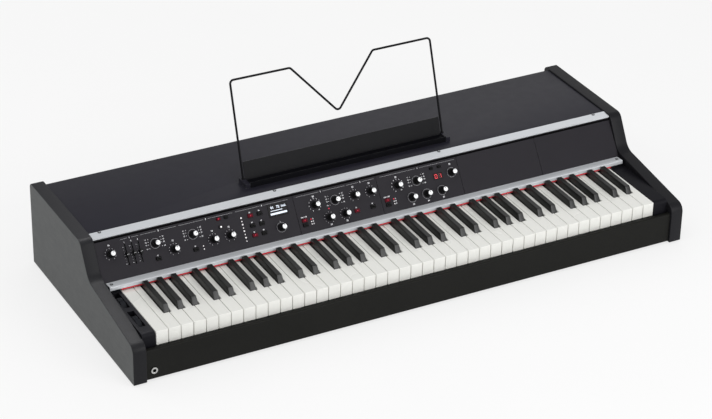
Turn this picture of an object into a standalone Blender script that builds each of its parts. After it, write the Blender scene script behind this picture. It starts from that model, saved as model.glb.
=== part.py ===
# Stage piano with 73 weighted keys, a sloping control panel and a wire music stand.
# Units are metres. The case frame has x from the centre line (right is +x), y from the
# cheeks' front edges towards the back, and z from the cheeks' bottom edges. The parent
# empty moves that frame so that the feet stand on z = 0 and the case is centred on y = 0.

import math

import bmesh
import bpy
from mathutils import Matrix, Vector

# Clearances
FIT = 0.0003            # between pieces that touch
PLAY = 0.0004           # round a piece that slides in a hole

# Case
WIDTH = 1.116
DEPTH = 0.462
CHEEK_HEIGHT = 0.166
CHEEK_THICK = 0.025
CHEEK_EDGE = 0.0012     # softened edge of each cheek
FOOT_DROP = 0.003       # how far the feet reach below the cheeks
BOARD_THICK = 0.010
BOARD_BOTTOM = 0.002
INNER = WIDTH / 2 - CHEEK_THICK
BOARD_TOP = BOARD_BOTTOM + BOARD_THICK
OVERCUT = 0.001         # how far a cutter reaches past the face that it opens

# Cheek profile: heights and depths of its corners, and their radii
NOSE_HEIGHT = 0.0755
SLOPE_END_Y = 0.190
SLOPE_END_Z = 0.1044
SHOULDER_Y = 0.225
NOSE_RADIUS = 0.018
NOOK_RADIUS = 0.028
SHOULDER_RADIUS = 0.016
TAIL_RADIUS = 0.009

# Front rail
RAIL_SETBACK = 0.0048
RAIL_THICK = 0.010
RAIL_TOP = 0.0595
RAIL_ROUND = (0.003, 0.002)     # front and rear top edges
RAIL_BACK = RAIL_SETBACK + RAIL_THICK

# Top cover and back board
COVER_DROP = 0.003      # cover's top below the cheeks' tops
COVER_THICK = 0.012
COVER_FRONT = 0.2453
COVER_ROUND = 0.0025    # radius of its top edges
COVER_SETBACK = 0.013   # back board ahead of the cheeks' rear edges
COVER_BACK = DEPTH - COVER_SETBACK
BACK_THICK = 0.012
COVER_TOP = CHEEK_HEIGHT - COVER_DROP
BACK_BOARD_Y = COVER_BACK - BACK_THICK

# Control panel slope: its lower and upper ends on the front surface
SLOPE_FOOT = Vector((0.0, 0.1845, 0.0950))
SLOPE_ANGLE = math.radians(55.6)
SLOPE_LENGTH = 0.0786
SHEET = 0.002           # panel sheet thickness
MODULE_WIDTH = 0.170
MODULE_COUNT = 4
SEAM = 0.0008
PANEL_LEFT = -INNER
MODULES_LEFT = INNER - MODULE_COUNT * MODULE_WIDTH

# Panel widths that the controls' places were measured on: the places spread with the panels
MAIN_DRAWN = 0.386
MODULE_DRAWN = 0.170
MAIN_SPREAD = (MODULES_LEFT - PANEL_LEFT) / MAIN_DRAWN
MODULE_SPREAD = MODULE_WIDTH / MODULE_DRAWN

# Trim strips
STRIP_THICK = 0.0025
STRIP_END_GAP = 0.0042
LOWER_STRIP_HALF = INNER - STRIP_END_GAP
LOWER_STRIP_ROUND = 0.0008
LOWER_STRIP_TOE = 0.008     # how far its rear flange reaches under the panels
LOWER_STRIP_FRONT = 0.1643
LOWER_STRIP_BACK = 0.1836
LOWER_STRIP_FRONT_Z = 0.0976
LOWER_STRIP_BACK_Z = 0.0960
LIP_BOTTOM = 0.0904
UPPER_STRIP_FRONT = 0.2264
UPPER_STRIP_FRONT_Z = 0.1626
UPPER_STRIP_BACK_Z = 0.1646
STRIP_WEB_BOTTOM = 0.150
STRIP_WEB_SETBACK = 0.0106
STRIP_WEB_Y = UPPER_STRIP_FRONT + STRIP_WEB_SETBACK
UPPER_STRIP_BACK = COVER_FRONT - FIT
SCREW_END = 0.0227      # outer screws from the cheeks
SCREW_SHIFT = -0.0035   # middle of the row of screws from the middle of the case
UPPER_SCREW_X = [SCREW_SHIFT + side * (INNER - SCREW_END) / part
                 for side, part in ((-1, 1), (-1, 3), (1, 3), (1, 1))]
UPPER_SCREW_Y = 0.2424
LOWER_SCREW_END = 0.0068
LOWER_SCREW_X = LOWER_STRIP_HALF - LOWER_SCREW_END
LOWER_SCREW_Y = 0.1745
SCREW_HEAD_RADIUS = 0.0026
SCREW_HEAD_HEIGHT = 0.0012
SCREW_HEAD_ROOT = 0.0008

# Keys
WHITE_COUNT = 43
FIRST_NOTE = 2          # index of E in the row C D E F G A B
KEY_GAP = 0.001
LEFT_MARGIN = 0.0255    # from the left cheek to the first key, for the wheels
RIGHT_MARGIN = 0.0300
KEYS_LEFT = -INNER + LEFT_MARGIN
KEYS_RIGHT = INNER - RIGHT_MARGIN
KEY_PITCH = (KEYS_RIGHT - KEYS_LEFT) / WHITE_COUNT
KEY_FRONT = 0.018
KEY_BACK = 0.255
KEY_TOP = 0.0847
KEY_THICK = 0.018
KEY_FACE = 0.027        # height of a white key's front face
KEY_FACE_THICK = 0.004
KEY_BOTTOM = KEY_TOP - KEY_THICK
BLACK_HALF = 0.00615
BLACK_TOP_HALF = 0.0047
BLACK_RISE = 0.0115
BLACK_FRONT = 0.068
BLACK_FRONT_SLOPE = 0.010
BLACK_BACK = 0.163
BLACK_BASE = 0.0057     # how far the raised part starts below the white tops
NEAR_SHIFT = 0.0028     # of the pair's black keys from the gap below them
FAR_SHIFT = 0.0035      # of the three's outer black keys
BLACK_SHIFT = {0: -NEAR_SHIFT, 1: NEAR_SHIFT, 3: -FAR_SHIFT, 4: 0.0, 5: FAR_SHIFT}
STICK_HALF = 0.00525
STICK_DROP = 0.0022     # black key's stick below the white tops
KEY_PIVOT_Y = 0.245
PIVOT_RADIUS = 0.0025
KEY_DIP_DEG = 2.5
KEY_PIVOT_Z = KEY_BOTTOM - FIT - PIVOT_RADIUS

# Each set of keys is moulded on its own rear rail, one rail above the other
COMB_RAIL_Y = 0.258
COMB_RAIL_DEPTH = 0.004
COMB_RAIL_HEIGHT = 0.0035
COMB_TONGUE_INSET = 0.0004
COMB_RAIL_TOPS = {"white_keys_a": 0.0845, "white_keys_b": 0.0790, "black_keys": 0.0735}

# Key frame
FRAME_PLATE = 0.0027
FRAME_FRONT = 0.036
FRAME_BACK = 0.262
WHITE_STOP_Y = 0.0415
BLACK_STOP_Y = 0.0780
WALL_HALF = 0.0015
FRAME_BOTTOM = BOARD_TOP + FIT
FRAME_TOP = FRAME_BOTTOM + FRAME_PLATE

# Felt strip
FELT_FRONT = 0.1646
FELT_DEPTH = 0.0045
FELT_BOTTOM = 0.0872

# Key blocks and thumb wheels
BLOCK_SIDE_GAP = 0.001
BLOCK_FRONT = 0.018
BLOCK_BACK = 0.200
BLOCK_LEG_Y = 0.034
BLOCK_OVERHANG_Z = 0.045
BLOCK_ROUND = 0.007
WHEEL_RADIUS = 0.026
WHEEL_HALF = 0.0048
WHEEL_PROUD = 0.0015
WHEEL_EDGE = 0.0008
WHEEL_SIDE_GAP = 0.0013
WHEEL_END_GAP = 0.0008
STUB_RADIUS = 0.002
STUB_LENGTH = 0.0036
NOTCH_RADIUS = 0.0045
WHEEL_Y = (0.0708, 0.1370)
WHEEL_Z = KEY_TOP + WHEEL_PROUD - WHEEL_RADIUS
LEFT_BLOCK_RIGHT = KEYS_LEFT - BLOCK_SIDE_GAP
RIGHT_BLOCK_LEFT = KEYS_RIGHT + BLOCK_SIDE_GAP
WHEEL_X = (LEFT_BLOCK_RIGHT - INNER + FIT) / 2

# Knobs: an outline shared by all, standing on the sloping panel
KNOB_RADIUS = 0.0066
KNOB_TOP_RADIUS = 0.0056
KNOB_HEIGHT = 0.0165
KNOB_LIFT = 0.0005
SHAFT_RADIUS = 0.003
SHAFT_DEPTH = 0.003
SHAFT_HOLE = SHAFT_RADIUS + PLAY

# Knob places as (distance from the panel's left end, distance up the slope)
MAIN_KNOBS = {
    "volume_knob": (0.0265, 0.0478),
    "main_knob_1": (0.1110, 0.0478),
    "main_knob_2": (0.1435, 0.0300),
    "main_selector_knob": (0.1835, 0.0478),
    "main_knob_3": (0.2195, 0.0300),
    "main_knob_4": (0.2525, 0.0300),
    "encoder_knob": (0.3515, 0.0225),
}
MODULE_1_KNOBS = {
    "module_1_knob_1": (0.0395, 0.0475),
    "module_1_selector_knob": (0.0805, 0.0475),
    "module_1_knob_2": (0.1205, 0.0475),
    "module_1_knob_3": (0.1540, 0.0475),
    "module_1_knob_4": (0.0620, 0.0190),
    "module_1_knob_5": (0.0945, 0.0190),
}
MODULE_2_KNOBS = {
    "module_2_knob_1": (0.0395, 0.0465),
    "module_2_selector_knob": (0.0795, 0.0465),
    "module_2_knob_2": (0.1540, 0.0465),
    "module_2_knob_3": (0.0630, 0.0185),
    "module_2_knob_4": (0.0940, 0.0185),
    "module_2_knob_5": (0.1260, 0.0185),
}

# Slider caps in their slots
SLIDERS = {"slider_1": 0.0555, "slider_2": 0.0685, "slider_3": 0.0810}
SLIDER_MIDDLE = 0.0403
SLOT_LENGTH = 0.0385
SLOT_WIDTH = 0.0022
SLIDER_CAP = (0.0050, 0.0085, 0.0080)
SLIDER_TAPER = 0.0010   # narrowing of the cap towards its top
SLIDER_DISH = 0.0012    # depth of the finger groove
SLIDER_STEM = (0.0012, 0.0040)
SLIDER_LIFT = 0.0006
TRACK_WIDTH = 0.0060

# Button places as (along, up) on each panel, for the larger and the smaller caps
BUTTON = (0.0095, 0.0062)
SMALL_BUTTON = (0.0070, 0.0045)
BUTTON_RISE = 0.0025
BUTTON_DEPTH = 0.0095
MAIN_BUTTONS = [(0.1105, 0.0205), (0.1825, 0.0205), (0.2980, 0.0560), (0.2980, 0.0376),
                (0.2980, 0.0200), (0.3165, 0.0560), (0.3165, 0.0376), (0.3165, 0.0200)]
MAIN_SMALL_BUTTONS = [(0.2380, 0.0487), (0.2370, 0.0635), (0.2520, 0.0635)]
MODULE_1_BUTTONS = [(0.0122, 0.0242), (0.0122, 0.0158), (0.1180, 0.0190), (0.1510, 0.0195)]
MODULE_2_BUTTONS = [(0.0122, 0.0242), (0.0122, 0.0158)]
MODULE_2_SMALL_BUTTONS = [(0.1145, 0.0622), (0.1312, 0.0622)]

# Each panel's buttons are moulded on one web: its bars run between (along, up) points
WEB_DEPTH = 0.0055
WEB_THICK = 0.0012
WEB_BAR = 0.003
MAIN_WEB = [((0.1105, 0.0120), (0.3165, 0.0120)), ((0.1105, 0.0120), (0.1105, 0.0205)),
            ((0.1825, 0.0120), (0.1825, 0.0205)), ((0.2380, 0.0120), (0.2380, 0.0635)),
            ((0.2380, 0.0635), (0.2520, 0.0635)), ((0.2980, 0.0120), (0.2980, 0.0560)),
            ((0.3165, 0.0120), (0.3165, 0.0560))]
MODULE_1_WEB = [((0.0122, 0.0090), (0.1510, 0.0090)), ((0.0122, 0.0090), (0.0122, 0.0242)),
                ((0.1180, 0.0090), (0.1180, 0.0190)), ((0.1510, 0.0090), (0.1510, 0.0195))]
MODULE_2_WEB = [((0.0122, 0.0158), (0.0122, 0.0325)), ((0.0122, 0.0325), (0.1060, 0.0325)),
                ((0.1060, 0.0325), (0.1060, 0.0622)), ((0.1060, 0.0622), (0.1312, 0.0622))]

# Displays: (along, up, width, height)
TEXT_DISPLAY = (0.3530, 0.0550, 0.0380, 0.0215)
DIGIT_DISPLAY = (0.1247, 0.0455, 0.0180, 0.0110)
DISPLAY_DEPTH = 0.0015
DISPLAY_RISE = 0.0004

# Control circuit board behind the panels
CONTROL_BOARD_DEPTH = 0.0110
CIRCUIT_SHEET = 0.0016
CONTROL_BOARD_LOW = 0.0040
CONTROL_BOARD_HIGH = 0.0740
CONTROL_BOARD_INSET = 0.004
POT_SIZE = 0.0100
STANDOFF_RADIUS = 0.0025
STANDOFF_INSET = 0.0035

# Music stand: a plane that leans back, drawn as (x, distance up the plane)
STAND_X = -0.004
STAND_SETBACK = 0.0467
STAND_Y = COVER_FRONT + STAND_SETBACK
STAND_LEAN = math.radians(18)
WIRE_RADIUS = 0.002
WIRE_FOOT = (0.2070, 0.0025)
WIRE_SHOULDER = (0.2055, 0.1910)
WIRE_PEAK = (0.0850, 0.1905)
WIRE_DIP = (0.0, 0.0925)
WIRE_BEND = 0.007
TRAY_SHEET = 0.0015
TRAY_REACH = 0.020
TRAY_LIP_Y = STAND_Y - TRAY_REACH
TRAY_LIP_TOP = 0.174
TRAY_SHELF_Z = 0.1675
TRAY_BACK_HEIGHT = 0.040

# Brackets on the cover that hold the wire's feet
BRACKET_INNER = 0.2034
BRACKET_WIDTH = 0.0085
BRACKET_FORE = TRAY_REACH
BRACKET_AFT = 0.011
BRACKET_Y = (STAND_Y - BRACKET_FORE, STAND_Y + BRACKET_AFT)
BRACKET_HEIGHT = 0.0085
BRACKET_ROOT = 0.002
BRACKET_FLOOR = 0.0015
TRAY_HALF = BRACKET_INNER - FIT

# Sockets
JACK_BORE = 0.0033
JACK_BARREL = 0.0045
JACK_FLANGE = 0.0064
JACK_FLANGE_THICK = 0.0018
JACK_DEPTH = 0.0235
JACK_WALL = 0.002
HEADPHONE_END = 0.015
HEADPHONE_X = -INNER + HEADPHONE_END
HEADPHONE_Z = 0.0184
REAR_PLATE_END = 0.105
REAR_PLATE_WIDTH = 0.316
REAR_LEFT = INNER - REAR_PLATE_END - REAR_PLATE_WIDTH
REAR_PLATE_X = (REAR_LEFT, INNER - REAR_PLATE_END)
REAR_PLATE_Z = (0.016, 0.072)
REAR_PLATE_SHEET = 0.0015
REAR_PLATE_LAP = 0.008
REAR_SOCKET_Z = 0.044
REAR_JACK_FIRST = 0.033     # from the plate's left end
REAR_JACK_PITCH = 0.027
REAR_JACK_COUNT = 4
REAR_JACK_X = [REAR_LEFT + REAR_JACK_FIRST + i * REAR_JACK_PITCH for i in range(REAR_JACK_COUNT)]
REAR_JACK_BOX = 0.0055
REAR_JACK_ROOT = 0.003
USB_ALONG = 0.150
USB_X = REAR_LEFT + USB_ALONG
USB_OUTER = (0.0150, 0.0140)
USB_HOLE = (0.0090, 0.0080)
SOCKET_DEPTH = 0.020
SOCKET_RIM = 0.0012
INLET_ALONG = 0.278
INLET_X = REAR_LEFT + INLET_ALONG
INLET_OUTER = (0.0300, 0.0230)
INLET_HOLE = (0.0240, 0.0160)
INLET_PIN = (0.0018, 0.0045)
INLET_PIN_X = (-0.007, 0.0, 0.007)
INLET_PIN_SHORT = 0.006
INLET_WALL = 0.004
SWITCH_ALONG = 0.223
SWITCH_X = REAR_LEFT + SWITCH_ALONG
SWITCH_OUTER = (0.0170, 0.0240)
SWITCH_HOLE = (0.0130, 0.0190)
ROCKER_RADIUS = 0.0088
ROCKER_HALF = 0.0060
ROCKER_PROUD = 0.0022
ROCKER_TILT = math.radians(9)
REAR_PLATE_Y = COVER_BACK + FIT
REAR_OUTER = REAR_PLATE_Y + REAR_PLATE_SHEET
ROCKER_SINK = 0.001
ROCKER_Y = REAR_OUTER - ROCKER_SINK

# Feet
FOOT_RADIUS = 0.011
FOOT_END = 0.063
FOOT_X = INNER - FOOT_END
FRONT_FOOT_Y = 0.045
REAR_FOOT_INSET = 0.034
FOOT_Y = {"front": FRONT_FOOT_Y, "rear": COVER_BACK - REAR_FOOT_INSET}

# Board that carries the rear sockets and the power supply
SOCKET_BOARD_ALONG = (0.018, 0.303)     # from the plate's left end
SOCKET_BOARD_X = [REAR_LEFT + along for along in SOCKET_BOARD_ALONG]
SOCKET_BOARD_REACH = 0.119              # ahead of the back board's rear face
SOCKET_BOARD_FRONT = COVER_BACK - SOCKET_BOARD_REACH
SOCKET_BOARD_Z = 0.0305
SUPPLY_ALONG = (0.218, 0.288)
SUPPLY_REACH = (0.104, 0.049)
SUPPLY_HEIGHT = 0.032
PILLAR_RADIUS = 0.003
PILLAR_INSET = 0.008
SINK = 0.0006           # how far joined solids reach into each other

ROUND_STEPS = 12


def linear(rgb):
    """Turn display colours from 0 to 255 into the values that a shader takes."""
    return tuple(c / 255 / 12.92 if c <= 10 else ((c / 255 + 0.055) / 1.055) ** 2.4 for c in rgb)


def make_material(name, rgb, roughness, metallic=0.0):
    """A plain surface with the given colour, roughness and metallic value."""
    material = bpy.data.materials.new(name)
    material.use_nodes = True
    shader = material.node_tree.nodes["Principled BSDF"]
    shader.inputs["Base Color"].default_value = linear(rgb) + (1.0,)
    shader.inputs["Roughness"].default_value = roughness
    shader.inputs["Metallic"].default_value = metallic
    material.diffuse_color = linear(rgb) + (1.0,)
    return material


def arc(centre, radius, start, end, steps):
    """Points on an arc from one angle to another, in degrees."""
    angles = [math.radians(start + (end - start) * i / steps) for i in range(steps + 1)]
    return [(centre[0] + radius * math.cos(a), centre[1] + radius * math.sin(a)) for a in angles]


def rounded(corners, steps=4):
    """An outline from (u, v, radius) corners, each with a radius replaced by an arc."""
    points = []
    for i, (u, v, radius) in enumerate(corners):
        here = Vector((u, v))
        if radius == 0:
            points.append(tuple(here))
            continue
        to_last = (Vector(corners[i - 1][:2]) - here).normalized()
        to_next = (Vector(corners[(i + 1) % len(corners)][:2]) - here).normalized()
        half = to_last.angle(to_next) / 2
        centre = here + (to_last + to_next).normalized() * radius / math.sin(half)
        first = here + to_last * radius / math.tan(half) - centre
        turn = first.angle_signed(here + to_next * radius / math.tan(half) - centre)
        for k in range(steps + 1):
            spoke = first.copy()
            spoke.rotate(Matrix.Rotation(-turn * k / steps, 2))
            points.append(tuple(centre + spoke))
    return points


def add_prism(bm, outline, axis, low, high, place=Matrix()):
    """A straight prism: an outline in the plane square to the axis, from low to high."""
    rings = []
    for level in (low, high):
        ring = []
        for u, v in outline:
            point = [u, v]
            point.insert(axis, level)
            ring.append(bm.verts.new(place @ Vector(point)))
        rings.append(ring)
    count = len(outline)
    faces = [bm.faces.new(rings[0]), bm.faces.new(list(reversed(rings[1])))]
    for i in range(count):
        j = (i + 1) % count
        faces.append(bm.faces.new((rings[0][i], rings[1][i], rings[1][j], rings[0][j])))
    bmesh.ops.recalc_face_normals(bm, faces=faces)


def add_box(bm, low, high, place=Matrix()):
    """A box between two corners."""
    outline = [(low[0], low[1]), (high[0], low[1]), (high[0], high[1]), (low[0], high[1])]
    add_prism(bm, outline, 2, low[2], high[2], place)


def add_turned(bm, profile, place=Matrix(), steps=ROUND_STEPS):
    """A solid of revolution about local z: (radius, height) points from axis to axis."""
    rings = []
    for radius, height in profile:
        if radius == 0:
            rings.append([bm.verts.new(place @ Vector((0, 0, height)))])
            continue
        ring = []
        for k in range(steps):
            angle = 2 * math.pi * k / steps
            point = Vector((radius * math.cos(angle), radius * math.sin(angle), height))
            ring.append(bm.verts.new(place @ point))
        rings.append(ring)
    faces = []
    for lower, upper in zip(rings, rings[1:]):
        for k in range(steps):
            n = (k + 1) % steps
            corners = [lower[k % len(lower)], lower[n % len(lower)],
                       upper[n % len(upper)], upper[k % len(upper)]]
            unique = list(dict.fromkeys(corners))
            faces.append(bm.faces.new(unique))
    bmesh.ops.recalc_face_normals(bm, faces=faces)


def add_cylinder(bm, radius, low, high, place=Matrix(), steps=ROUND_STEPS):
    """A closed cylinder about local z."""
    add_turned(bm, [(0, low), (radius, low), (radius, high), (0, high)], place, steps)


def slope_place(along, up, left=PANEL_LEFT):
    """Frame on the sloping panel: x along it, y up the slope, z out of its surface."""
    turn = Matrix.Rotation(SLOPE_ANGLE, 4, "X")
    start = Matrix.Translation(SLOPE_FOOT + Vector((left, 0, 0)))
    return start @ turn @ Matrix.Translation((along, up, 0))


def back_place(x, z, y):
    """Frame on the back: local z points out of the back of the case."""
    return Matrix.Translation((x, y, z)) @ Matrix.Rotation(-math.pi / 2, 4, "X")


def front_place(x, z, y):
    """Frame on the front: local z points out of the front of the case."""
    return Matrix.Translation((x, y, z)) @ Matrix.Rotation(math.pi / 2, 4, "X")


def module_left(number):
    """Left end of a control module, counted from 0."""
    return MODULES_LEFT + number * MODULE_WIDTH


def apply_boolean(obj, tool_mesh, operation):
    """Cut or join a piece with a second mesh and keep the result as its own mesh."""
    mesh = bpy.data.meshes.new("tool")
    bmesh.ops.recalc_face_normals(tool_mesh, faces=tool_mesh.faces)
    tool_mesh.to_mesh(mesh)
    tool_mesh.free()
    tool = bpy.data.objects.new("tool", mesh)
    tool.hide_render = True
    tool.display_type = "WIRE"
    bpy.context.scene.collection.objects.link(tool)
    modifier = obj.modifiers.new("boolean", "BOOLEAN")
    modifier.operation = operation
    modifier.use_self = True
    modifier.object = tool
    depsgraph = bpy.context.evaluated_depsgraph_get()
    result = bpy.data.meshes.new_from_object(obj.evaluated_get(depsgraph))
    old = obj.data
    obj.modifiers.clear()
    obj.data = result
    bpy.data.meshes.remove(old)
    bpy.data.objects.remove(tool)
    bpy.data.meshes.remove(mesh)


def finish(name, bm, material, pivot=(0, 0, 0), joins=None, cuts=None, late_joins=None, smooth=False):
    """Make the named piece, with its origin at the pivot, inside the case frame."""
    mesh = bpy.data.meshes.new(name)
    bm.to_mesh(mesh)
    bm.free()
    obj = bpy.data.objects.new(name, mesh)
    bpy.context.scene.collection.objects.link(obj)
    for tool_mesh, operation in ((joins, "UNION"), (cuts, "DIFFERENCE"), (late_joins, "UNION")):
        if tool_mesh is not None:
            apply_boolean(obj, tool_mesh, operation)
    obj.data.name = name
    obj.data.transform(Matrix.Translation(-Vector(pivot)))
    obj.data.materials.clear()
    obj.data.materials.append(material)
    if smooth:
        obj.data.shade_smooth()
        obj.data.set_sharp_from_angle(angle=math.radians(40))
    obj.location = pivot
    obj.parent = CASE
    return obj


def build_case(finishes):
    """Cheeks, boards, cover and front rail."""
    outline = rounded([(0, 0, 0), (0, NOSE_HEIGHT, NOSE_RADIUS), (SLOPE_END_Y, SLOPE_END_Z, NOOK_RADIUS),
                       (SHOULDER_Y, CHEEK_HEIGHT, SHOULDER_RADIUS), (DEPTH, CHEEK_HEIGHT, TAIL_RADIUS),
                       (DEPTH, 0, 0)])
    for name, side in (("left_cheek", -1), ("right_cheek", 1)):
        bm = bmesh.new()
        add_prism(bm, outline, 0, *sorted((side * INNER, side * WIDTH / 2)))
        cheek = finish(name, bm, finishes["satin_black"], smooth=True)
        soften(cheek, CHEEK_EDGE, 2)

    bm = bmesh.new()
    add_box(bm, (-INNER + FIT, RAIL_BACK + FIT, BOARD_BOTTOM), (INNER - FIT, COVER_BACK, BOARD_TOP))
    finish("bottom_board", bm, finishes["board"])

    bm = bmesh.new()
    add_box(bm, (-INNER + FIT, BACK_BOARD_Y, BOARD_TOP + FIT),
            (INNER - FIT, COVER_BACK, COVER_TOP - COVER_THICK - FIT))
    cuts = bmesh.new()
    window_x = (REAR_PLATE_X[0] + REAR_PLATE_LAP, REAR_PLATE_X[1] - REAR_PLATE_LAP)
    window_z = (REAR_PLATE_Z[0] + REAR_PLATE_LAP, REAR_PLATE_Z[1] - REAR_PLATE_LAP)
    add_box(cuts, (window_x[0], BACK_BOARD_Y - PLAY, window_z[0]),
            (window_x[1], COVER_BACK + PLAY, window_z[1]))
    finish("back_board", bm, finishes["board"], cuts=cuts)

    bm = bmesh.new()
    outline = rounded([(COVER_FRONT, COVER_TOP - COVER_THICK, 0), (COVER_FRONT, COVER_TOP, COVER_ROUND),
                       (COVER_BACK, COVER_TOP, COVER_ROUND), (COVER_BACK, COVER_TOP - COVER_THICK, 0)], 3)
    add_prism(bm, outline, 0, -INNER + FIT, INNER - FIT)
    joins, cuts = bmesh.new(), bmesh.new()
    for side in (-1, 1):
        ends = sorted(STAND_X + side * reach for reach in (BRACKET_INNER, BRACKET_INNER + BRACKET_WIDTH))
        add_box(joins, (ends[0], BRACKET_Y[0], COVER_TOP - BRACKET_ROOT),
                (ends[1], BRACKET_Y[1], COVER_TOP + BRACKET_HEIGHT))
        bore = Matrix.Translation(stand_point(side * WIRE_FOOT[0], 0)) @ Matrix.Rotation(-STAND_LEAN, 4, "X")
        add_cylinder(cuts, WIRE_RADIUS + FIT, BRACKET_FLOOR, 2 * BRACKET_HEIGHT, bore, 12)
    finish("top_cover", bm, finishes["satin_black"], cuts=cuts, joins=joins, smooth=True)

    bm = bmesh.new()
    outline = rounded([(RAIL_SETBACK, BOARD_BOTTOM, 0), (RAIL_SETBACK, RAIL_TOP, RAIL_ROUND[0]),
                       (RAIL_BACK, RAIL_TOP, RAIL_ROUND[1]), (RAIL_BACK, BOARD_BOTTOM, 0)], 3)
    add_prism(bm, outline, 0, -INNER + FIT, INNER - FIT)
    cuts = bmesh.new()
    place = front_place(HEADPHONE_X, HEADPHONE_Z, RAIL_SETBACK)
    add_cylinder(cuts, JACK_BARREL + FIT, -2 * RAIL_THICK, RAIL_THICK, place, 16)
    finish("front_rail", bm, finishes["satin_black"], cuts=cuts, smooth=True)


def soften(obj, width, segments):
    """Round a piece's sharp edges."""
    bevel = obj.modifiers.new("edge", "BEVEL")
    bevel.width = width
    bevel.segments = segments
    bevel.limit_method = "ANGLE"
    bevel.angle_limit = math.radians(50)


def block_profile():
    """Side outline of both key blocks: rounded nose, raised seat for the strip, and a leg."""
    seat_z = LOWER_STRIP_BACK_Z - STRIP_THICK - FIT
    step_y = LOWER_STRIP_FRONT + STRIP_THICK + FIT
    return rounded([(BLOCK_FRONT, BLOCK_OVERHANG_Z, 0), (BLOCK_FRONT, KEY_TOP, BLOCK_ROUND),
                    (step_y, KEY_TOP, 0), (step_y, seat_z, 0), (LOWER_STRIP_BACK - STRIP_THICK, seat_z, 0),
                    (LOWER_STRIP_BACK - STRIP_THICK, KEY_TOP, 0), (BLOCK_BACK, KEY_TOP, 0),
                    (BLOCK_BACK, FRAME_BOTTOM, 0), (BLOCK_LEG_Y, FRAME_BOTTOM, 0),
                    (BLOCK_LEG_Y, BLOCK_OVERHANG_Z, 0)])


def build_blocks(finishes):
    """The blocks beside the keys, with two thumb wheels in the left one."""
    spans = {"left_key_block": (-INNER + FIT, LEFT_BLOCK_RIGHT),
             "right_key_block": (RIGHT_BLOCK_LEFT, INNER - FIT)}
    for name, (low, high) in spans.items():
        bm = bmesh.new()
        add_prism(bm, block_profile(), 0, low, high)
        cuts = None
        if name == "left_key_block":
            cuts = bmesh.new()
            cut_wheel_slots(cuts)
        finish(name, bm, finishes["satin_black"], cuts=cuts, smooth=True)

    turn = Matrix.Rotation(math.pi / 2, 4, "Y")
    for name, y in zip(("modulation_wheel", "pitch_wheel"), WHEEL_Y):
        centre = (WHEEL_X, y, WHEEL_Z)
        half, reach, edge = WHEEL_HALF, WHEEL_HALF + WHEEL_SIDE_GAP + STUB_LENGTH, WHEEL_EDGE
        bm = bmesh.new()
        profile = [(0, -reach), (STUB_RADIUS, -reach), (STUB_RADIUS, -half), (WHEEL_RADIUS - edge, -half),
                   (WHEEL_RADIUS, -half + edge), (WHEEL_RADIUS, half - edge), (WHEEL_RADIUS - edge, half),
                   (STUB_RADIUS, half), (STUB_RADIUS, reach), (0, reach)]
        add_turned(bm, profile, Matrix.Translation(centre) @ turn, 28)
        cuts = bmesh.new()
        notch = Matrix.Translation((WHEEL_X, y, WHEEL_Z + WHEEL_RADIUS + NOTCH_RADIUS / 2)) @ turn
        add_cylinder(cuts, NOTCH_RADIUS, -2 * half, 2 * half, notch, 10)
        finish(name, bm, finishes["wheel"], pivot=centre, cuts=cuts, smooth=True)


def cut_wheel_slots(cuts):
    """Pockets for the wheels and holes for their stub axles."""
    turn = Matrix.Rotation(math.pi / 2, 4, "Y")
    half_x = WHEEL_HALF + WHEEL_SIDE_GAP
    half_y = WHEEL_RADIUS + WHEEL_END_GAP
    for y in WHEEL_Y:
        floor = WHEEL_Z - half_y
        add_box(cuts, (WHEEL_X - half_x, y - half_y, floor), (WHEEL_X + half_x, y + half_y, KEY_TOP + OVERCUT))
        reach = half_x + STUB_LENGTH + FIT
        hole = Matrix.Translation((WHEEL_X, y, WHEEL_Z)) @ turn
        for low, high in ((-reach, -half_x + OVERCUT), (half_x - OVERCUT, reach)):
            add_cylinder(cuts, STUB_RADIUS + FIT, low, high, hole, 12)


def lower_screw_place(side):
    """Frame at a lower strip screw: local z points up out of the strip."""
    slant = (LOWER_STRIP_FRONT_Z - LOWER_STRIP_BACK_Z) / (LOWER_STRIP_BACK - LOWER_STRIP_FRONT)
    top = LOWER_STRIP_BACK_Z + slant * (LOWER_STRIP_BACK - LOWER_SCREW_Y)
    tilt = Matrix.Rotation(-math.atan(slant), 4, "X")
    return Matrix.Translation((side * LOWER_SCREW_X, LOWER_SCREW_Y, top)) @ tilt


def upper_screw_place(x):
    """Frame at an upper strip screw: local z points up out of the strip."""
    slant = (UPPER_STRIP_BACK_Z - UPPER_STRIP_FRONT_Z) / (UPPER_STRIP_BACK - UPPER_STRIP_FRONT)
    top = UPPER_STRIP_FRONT_Z + slant * (UPPER_SCREW_Y - UPPER_STRIP_FRONT)
    return Matrix.Translation((x, UPPER_SCREW_Y, top)) @ Matrix.Rotation(math.atan(slant), 4, "X")


def rear_screw_places():
    """Frames at the four rear plate screws: local z points out of the back."""
    inset = REAR_PLATE_LAP / 2
    return [back_place(x, z, REAR_OUTER)
            for x in (REAR_PLATE_X[0] + inset, REAR_PLATE_X[1] - inset)
            for z in (REAR_PLATE_Z[0] + inset, REAR_PLATE_Z[1] - inset)]


def screw_heads(places):
    """Screw heads that stand on the surface at each place's local z = 0."""
    bm = bmesh.new()
    profile = [(0, -SCREW_HEAD_ROOT), (SCREW_HEAD_RADIUS, -SCREW_HEAD_ROOT),
               (SCREW_HEAD_RADIUS, SCREW_HEAD_HEIGHT / 2),
               (SCREW_HEAD_RADIUS / 2, SCREW_HEAD_HEIGHT), (0, SCREW_HEAD_HEIGHT)]
    for place in places:
        add_turned(bm, profile, place, 10)
    return bm


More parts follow.
